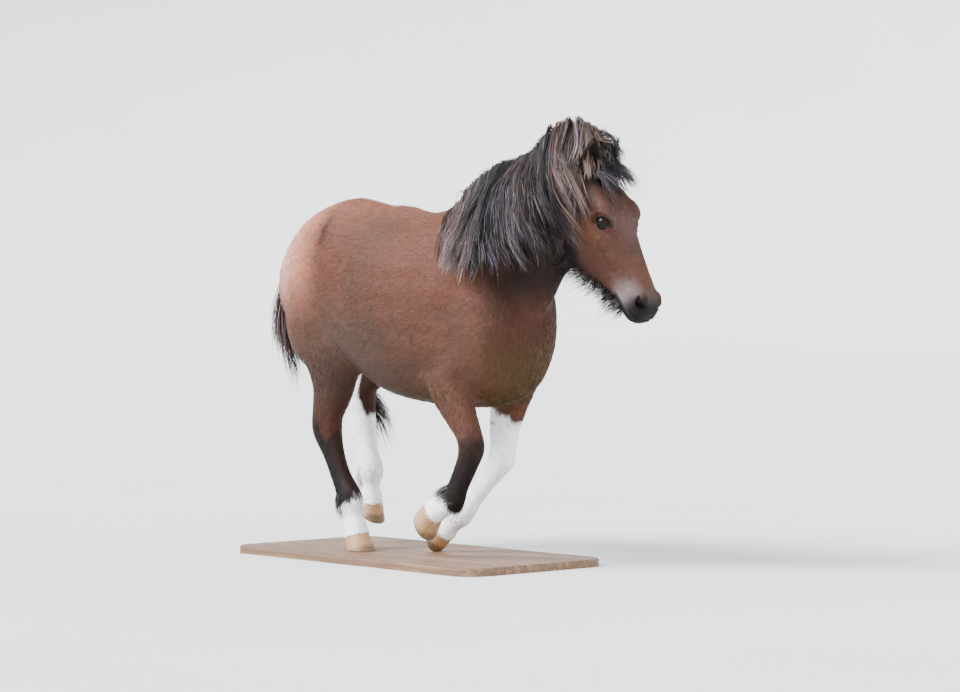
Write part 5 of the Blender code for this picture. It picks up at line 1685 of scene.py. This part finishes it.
def build_ear_hair(sign, surface, mat, rng):
    """Hair that fringes the rim and fills the mouth of one ear."""
    rise, opening, across = (np.array(v) for v in ear_axes(sign))
    foot = np.array(on_head(EAR_BASE[0], EAR_BASE[1], sign * EAR_BASE[2])) - rise * EAR_SINK
    count, steps = 420, 5
    shares = np.linspace(0, 1, steps)
    paths, facing = [], []
    for _ in range(count):
        u = rng.uniform(0.22, 0.97)
        half, deep, cup = ear_section(u)
        turn = rng.choice((0.0, math.pi)) + rng.normal(0, 0.35)
        back = max(math.sin(turn), -0.15)
        root = foot + rise * (EAR_LENGTH + EAR_SINK) * u
        root = root + across * half * 0.93 * math.cos(turn) - opening * deep * 0.9 * back
        go = unit(rise * 1.0 + opening * rng.uniform(0.1, 0.7) - across * math.cos(turn) * 0.35 + rng.normal(0, 0.18, 3))
        paths.append(root[None] + go[None] * (shares * rng.uniform(0.007, 0.017))[:, None])
        facing.append(opening)
    paths = np.array(paths)
    widths = np.full((count, steps), 0.0010) * (1 - 0.7 * shares)[None]
    root = np.repeat(srgb(BAY_DARK)[None], count, axis=0)
    tip = np.repeat(srgb(GINGER)[None], count, axis=0) * rng.uniform(0.4, 1.0, count)[:, None]
    uv = np.array([surface.near(path[0])[2] for path in paths])
    name = "ear_hair_right" if sign < 0 else "ear_hair_left"
    return strands_mesh(name, paths, widths, root, tip, uv, mat, np.array(facing))


def build_eye(name, sign, mat):
    """The ball; its own places are stored for the iris."""
    out, long, high = (np.array(v) for v in eye_axes(sign))
    centre = np.array(eye_centre(sign))
    bm = bmesh.new()
    bmesh.ops.create_uvsphere(bm, u_segments=64, v_segments=40, radius=EYE_RADIUS - 0.0002)
    obj = object_from(bm, name + "_ball")
    q = points_of(obj.data)
    p = q @ np.stack([long, high, out])
    look = np.stack([q[:, 0], q[:, 1], q[:, 2]], axis=1) / EYE_RADIUS
    obj.data.vertices.foreach_set("co", (p + centre).astype(np.float32).ravel())
    obj.data.update()
    obj.data.shade_smooth()
    store(obj.data, "Look", look)
    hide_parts(name)
    show(obj, mat)
    return obj


def build_hoof(name, mat):
    """A hoof wall from the coronet to the sole, with growth rings, heels and a trimmed sole."""
    rows = LEGS[name]
    axis = foot_axis(rows)
    side = Vector((0, 1, 0))
    side = (side - axis * side.dot(axis)).normalized()
    front = axis.cross(side)
    wall, toe = (v.normalized() for v in HOOF_WALL[name])
    crown = Vector(rows[-1][:3]) + axis * GAP / 2
    tip = crown + front * HOOF_TOP[1] + wall * HOOF_LENGTH
    sole = tip - toe * HOOF_SOLE[1]
    count, steps = 64, 30
    top = ring(crown, side, front, HOOF_TOP[0], HOOF_TOP[1], HOOF_TOP[1], 1.0, count)
    low = ring(sole, Vector((0, 1, 0)), toe, HOOF_SOLE[0], HOOF_SOLE[1], HOOF_SOLE[1], 0.95, count)
    rings = []
    for k in range(steps + 1):
        f = k / steps
        middle = crown.lerp(sole, f)
        swell = 1.0 + 0.006 * math.sin(f * 26.0) + 0.020 * math.exp(-((f / 0.06) ** 2))
        swell *= 1.0 - 0.05 * math.exp(-(((1 - f) / 0.02) ** 2))
        rings.append([middle + (a.lerp(b, f) - middle) * swell for a, b in zip(top, low)])
    bm = bmesh.new()
    loft(bm, rings)
    cut = bmesh.ops.bisect_plane(
        bm, geom=bm.verts[:] + bm.edges[:] + bm.faces[:], plane_co=(0, 0, GROUND + GAP / 2),
        plane_no=(0, 0, -1), clear_outer=True,
    )
    bmesh.ops.holes_fill(bm, edges=[e for e in bm.edges if e.is_boundary], sides=0)
    bmesh.ops.triangulate(bm, faces=bm.faces)
    hoof = object_from(bm, name.replace("leg", "hoof") + "_horn")
    hoof.data.shade_smooth()
    hoof.data.set_sharp_from_angle(angle=math.radians(40))
    p = points_of(hoof.data)
    run = np.array(sole - crown)
    down = (p - np.array(crown)) @ run / (run @ run)
    store(hoof.data, "Down", down)
    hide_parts(name.replace("leg", "hoof"))
    show(hoof, mat)
    return hoof


# materials


class Num:
    """A shader socket or number that takes part in Python arithmetic."""

    def __init__(self, graph, value):
        self.graph, self.value = graph, value

    def math(self, operation, *others):
        node = self.graph.tree.nodes.new("ShaderNodeMath")
        node.operation = operation
        for index, item in enumerate((self, *others)):
            value = item.value if isinstance(item, Num) else item
            if isinstance(value, (int, float)):
                node.inputs[index].default_value = value
            else:
                self.graph.tree.links.new(value, node.inputs[index])
        return Num(self.graph, node.outputs[0])

    def __add__(self, other):
        return self.math("ADD", other)

    __radd__ = __add__

    def __mul__(self, other):
        return self.math("MULTIPLY", other)

    __rmul__ = __mul__

    def __sub__(self, other):
        return self.math("SUBTRACT", other)

    def __rsub__(self, other):
        return Num(self.graph, other).math("SUBTRACT", self)

    def __truediv__(self, other):
        return self.math("DIVIDE", other)

    def __rtruediv__(self, other):
        return Num(self.graph, other).math("DIVIDE", self)

    def __pow__(self, other):
        return self.math("POWER", other)

    def sqrt(self):
        return self.math("SQRT")

    def sine(self):
        return self.math("SINE")

    def ramp(self, low, high):
        """0 below low, 1 above high, smooth between."""
        node = self.graph.node(
            "ShaderNodeMapRange",
            {"interpolation_type": "SMOOTHSTEP", "clamp": True},
            {0: self, 1: low, 2: high, 3: 0.0, 4: 1.0},
        )
        return Num(self.graph, node.outputs[0])


class Graph:
    """One material's nodes."""

    def __init__(self, name):
        self.material = bpy.data.materials.new(name)
        self.material.use_nodes = True
        self.tree = self.material.node_tree
        self.shader = self.tree.nodes["Principled BSDF"]

    def node(self, kind, settings=None, sockets=None):
        node = self.tree.nodes.new(kind)
        for key, value in (settings or {}).items():
            setattr(node, key, value)
        for key, value in (sockets or {}).items():
            self.set(node.inputs[key], value)
        return node

    def set(self, socket, value):
        value = value.value if isinstance(value, Num) else value
        if isinstance(value, bpy.types.NodeSocket):
            self.tree.links.new(value, socket)
        elif isinstance(value, (tuple, list, np.ndarray)) and len(value) == 3:
            socket.default_value = (*value, 1.0) if socket.type == "RGBA" else tuple(value)
        else:
            socket.default_value = value

    def num(self, socket):
        return Num(self, socket)

    def attribute(self, name, output="Color"):
        return self.node("ShaderNodeAttribute", {"attribute_name": name}).outputs[output]

    def place(self):
        return self.node("ShaderNodeTexCoord").outputs["Object"]

    def stretched(self, vector, scale):
        return self.node("ShaderNodeMapping", {}, {"Vector": vector, "Scale": scale}).outputs[0]

    def noise(self, vector, scale, detail=3.0, rough=0.55):
        node = self.node(
            "ShaderNodeTexNoise", {}, {"Vector": vector, "Scale": scale, "Detail": detail, "Roughness": rough}
        )
        return Num(self, node.outputs[0])

    def blend(self, share, a, b, mode="MIX"):
        node = self.node("ShaderNodeMix", {"data_type": "RGBA", "blend_type": mode})
        self.set(node.inputs[0], share)
        self.set(node.inputs[6], a)
        self.set(node.inputs[7], b)
        return node.outputs[2]

    def bump(self, height, distance, strength=1.0):
        node = self.node(
            "ShaderNodeBump", {}, {"Height": height, "Distance": distance, "Strength": strength}
        )
        return node.outputs[0]

    def finish(self, **sockets):
        for key, value in sockets.items():
            self.set(self.shader.inputs[key.replace("_", " ")], value)
        return self.material


def coat_material(name, rough, bump_size, skin):
    """Hair over the markings: the stored colour, broken up finely, with a soft gloss."""
    g = Graph(name)
    colour = g.attribute("Coat")
    place = g.place()
    long = g.noise(g.stretched(place, (180.0, 320.0, 520.0)), 1.0, 2.0)
    broad = g.noise(place, 38.0, 3.0)
    dim = (long * 0.44 + 0.78) * (broad * 0.24 + 0.88)
    grey = g.node("ShaderNodeCombineColor", {}, {0: dim, 1: dim, 2: dim}).outputs[0]
    colour = g.blend(1.0, colour, grey, "MULTIPLY")
    height = long + broad * 0.8
    return g.finish(
        Base_Color=colour,
        Roughness=rough + broad * 0.16,
        Specular_IOR_Level=0.12,
        Normal=g.bump(height, bump_size, 0.8),
    )


def hair_material(name):
    g = Graph(name)
    place = g.place()
    tone = g.noise(place, 240.0, 2.0)
    dim = tone * 0.6 + 0.7
    grey = g.node("ShaderNodeCombineColor", {}, {0: dim, 1: dim, 2: dim}).outputs[0]
    colour = g.blend(1.0, g.attribute("Coat"), grey, "MULTIPLY")
    return g.finish(
        Base_Color=colour,
        Roughness=0.34 + tone * 0.20,
        Specular_IOR_Level=0.32,
        Normal=g.bump(tone, 0.0004, 0.5),
    )


def eye_material():
    """A dark brown eye with a long level pupil, a soft ring and a wet front."""
    g = Graph("eye_surface")
    look = g.attribute("Look", "Vector")
    parts = g.node("ShaderNodeSeparateXYZ", {}, {0: look})
    x, y = g.num(parts.outputs[0]), g.num(parts.outputs[1])
    iris = (x * x + y * y).sqrt()
    pupil = ((x / 0.36) * (x / 0.36) + (y / 0.17) * (y / 0.17)).sqrt()
    fibres = g.noise(g.stretched(look, (14.0, 14.0, 3.0)), 1.0, 4.0)
    brown = g.blend(fibres, srgb((16, 11, 10)), srgb((34, 23, 19)))
    colour = g.blend(pupil.ramp(1.15, 0.85), brown, srgb((10, 9, 14)))
    colour = g.blend(iris.ramp(0.60, 0.74), colour, srgb((14, 11, 11)))
    colour = g.blend(iris.ramp(0.80, 0.92), colour, srgb((20, 16, 16)))
    return g.finish(
        Base_Color=colour,
        Roughness=0.22 + fibres * 0.05,
        Specular_IOR_Level=0.06,
        Coat_Weight=0.12 + fibres * 0.06,
        Coat_Roughness=0.06,
        Normal=g.bump(fibres, 0.0002, 0.3),
    )


def hoof_material():
    """Tan horn with rings, streaks down the wall and mud low down."""
    g = Graph("hoof_horn_surface")
    place = g.place()
    down = g.num(g.attribute("Down", "Fac"))
    streak = g.noise(g.stretched(place, (260.0, 260.0, 22.0)), 1.0, 3.0)
    blot = g.noise(place, 60.0, 4.0)
    rings = (down * 62.0 + blot * 3.0).sine() * 0.5 + 0.5
    colour = g.blend(streak, srgb((150, 112, 78)), srgb((196, 152, 108)))
    colour = g.blend(rings * 0.35, colour, srgb((112, 82, 60)))
    colour = g.blend(down.ramp(0.16, 0.0) * 0.7, colour, srgb((96, 72, 60)))
    mud = (down + blot * 0.6).ramp(1.05, 1.35)
    colour = g.blend(mud * 0.8, colour, srgb((88, 74, 58)))
    return g.finish(
        Base_Color=colour,
        Roughness=0.42 + blot * 0.25,
        Normal=g.bump(rings * 0.7 + streak * 0.6, 0.0012, 0.6),
    )


def base_material():
    """Oiled dark oak with long grain and dark pores."""
    g = Graph("base_wood")
    place = g.place()
    grain = g.noise(g.stretched(place, (2.2, 34.0, 34.0)), 1.0, 5.0, 0.6)
    pores = g.noise(g.stretched(place, (30.0, 700.0, 700.0)), 1.0, 2.0)
    wave = (grain * 22.0).sine() * 0.5 + 0.5
    colour = g.blend(wave, srgb((96, 70, 50)), srgb((132, 100, 72)))
    colour = g.blend(pores.ramp(0.60, 0.72) * 0.6, colour, srgb((56, 40, 30)))
    return g.finish(
        Base_Color=colour,
        Roughness=0.45 + grain * 0.2,
        Normal=g.bump(wave * 0.3 - pores.ramp(0.60, 0.72), 0.0006, 0.5),
    )


def floor_material():
    g = Graph("studio_floor")
    cloudy = g.noise(g.place(), 0.8, 3.0)
    colour = g.blend(cloudy, srgb((206, 207, 206)), srgb((214, 215, 213)))
    return g.finish(Base_Color=colour, Roughness=0.85 + cloudy * 0.1)


# studio


def sun(name, direction, power, spread, glossy):
    """A broad, soft light that comes from the given direction, seen in reflections or not."""
    data = bpy.data.lights.new(name, "SUN")
    data.energy = power
    data.angle = math.radians(spread)
    light = bpy.data.objects.new(name, data)
    bpy.context.scene.collection.objects.link(light)
    light.rotation_euler = (-Vector(direction)).to_track_quat("-Z", "Y").to_euler()
    light.visible_glossy = glossy


FLOOR_RADIUS = 24.0
WALL_RISE = 8.0


def build_studio():
    """A pale floor that sweeps up to a wall far away, and three soft lights."""
    bm = bmesh.new()
    bmesh.ops.create_circle(bm, cap_ends=True, segments=96, radius=FLOOR_RADIUS)
    edge = [e for e in bm.edges if e.is_boundary]
    for k in range(1, 17):
        turn = math.pi / 2 * k / 16
        made = bmesh.ops.extrude_edge_only(bm, edges=edge)["geom"]
        for vert in (v for v in made if isinstance(v, bmesh.types.BMVert)):
            out = Vector((vert.co.x, vert.co.y, 0)).normalized()
            reach = FLOOR_RADIUS + WALL_RISE * math.sin(turn)
            vert.co = out * reach + Vector((0, 0, WALL_RISE * (1 - math.cos(turn))))
        edge = [e for e in made if isinstance(e, bmesh.types.BMEdge)]
    floor = object_from(bm, "studio_floor")
    floor.data.shade_smooth()
    floor.data.materials.append(floor_material())
    azimuth = math.radians(48)
    across = Vector((math.cos(azimuth), math.sin(azimuth), 0))
    back = Vector((math.sin(azimuth), -math.cos(azimuth), 0))
    up = Vector((0, 0, 1))
    sun("key", up * 0.85 - across * 0.95 + back * 0.28, 9.6, 28, True)
    sun("fill", up * 0.5 + across * 0.6 + back * 0.9, 1.9, 60, False)
    world = bpy.data.worlds.new("studio")
    world.use_nodes = True
    world.node_tree.nodes["Background"].inputs[0].default_value = (0.84, 0.88, 0.94, 1)
    world.node_tree.nodes["Background"].inputs[1].default_value = 1.95
    bpy.context.scene.world = world


def build_camera():
    azimuth = math.radians(48)
    across = Vector((math.cos(azimuth), math.sin(azimuth), 0))
    back = Vector((math.sin(azimuth), -math.cos(azimuth), 0))
    data = bpy.data.cameras.new("camera")
    data.sensor_width = 36
    data.lens = 2860 / 960 * 36
    data.shift_y = (300 - 346) / 960
    data.dof.use_dof = False
    camera = bpy.data.objects.new("camera", data)
    bpy.context.scene.collection.objects.link(camera)
    camera.location = across * 0.171 + back * 7.5 + Vector((0, 0, 0.673 + LIFT))
    camera.rotation_euler = (-back).to_track_quat("-Z", "Y").to_euler()
    bpy.context.scene.camera = camera


# the whole pony

TUFTS = 78000


def build_coat(skin, p, n, mat, tris, uvs, rng):
    def weight(c):
        t, f, a = head_coords(c)
        on = head_share(c)
        bare = smoothstep(0.024, 0.030, eye_distance(c))
        nostril = smoothstep(1.0, 1.5, np.hypot((t - 0.374) / 0.018, (f + 0.047) / 0.014))
        leg, station, far, axis, offset = leg_field(c)
        foot = leg_share(c, leg, station) * smoothstep(3.0, 6.0, station)
        return (1.0 + 2.2 * on + 1.6 * foot) * bare * np.where(on > 0.5, nostril, 1.0)

    place, normal, uv = scatter(p, n, tris, uvs, weight, TUFTS, rng)
    pieces = []
    limit = 19500
    for k in range(0, TUFTS, limit):
        s = slice(k, k + limit)
        pieces.append(
            build_tufts(f"coat_{k // limit + 1}", place[s], normal[s], uv[s], rng, mat)
        )
    return pieces


def main():
    rng = np.random.default_rng(SEED)
    skin = build_skin()
    p, n = finish_skin(skin)
    unwrap(skin)
    paint(skin.data, "Coat", coat_colour(p))
    skin_mat = coat_material("coat_skin", 0.52, 0.0008, True)
    tuft_mat = coat_material("coat_tufts", 0.46, 0.0004, False)
    hair_mat = hair_material("long_hair")
    show(skin, skin_mat)
    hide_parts("head", "neck", "torso", *LEGS)
    tris, uvs = triangles_of(skin.data)
    surface = Surface(skin, uvs, tris)
    build_coat(skin, p, n, tuft_mat, tris, uvs, rng)
    build_mane(surface, hair_mat, rng)
    build_forelock(surface, hair_mat, rng)
    build_beard(surface, hair_mat, rng)
    build_feather(surface, hair_mat, rng)
    tail = build_tail(surface, hair_mat, rng)
    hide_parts("tail")
    eye_mat = eye_material()
    for name, sign in (("right", -1), ("left", 1)):
        build_ear("ear_" + name, sign, skin_mat)
        build_ear_hair(sign, surface, hair_mat, rng)
        build_eye("eye_" + name, sign, eye_mat)
    hoof_mat = hoof_material()
    for name in LEGS:
        build_hoof(name, hoof_mat)
    wood = base_material()
    stand = frame["nodes"]["stand_base"]
    for index in range(max(len(stand.data.materials), 1)):
        if len(stand.data.materials):
            stand.data.materials[index] = wood
        else:
            stand.data.materials.append(wood)
    for obj in bpy.context.scene.objects:
        if obj.type == "MESH" and obj.get("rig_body") and obj.name not in frame["nodes"]:
            obj.data.transform(Matrix.Translation((0, 0, LIFT)))
    build_studio()
    build_camera()


main()
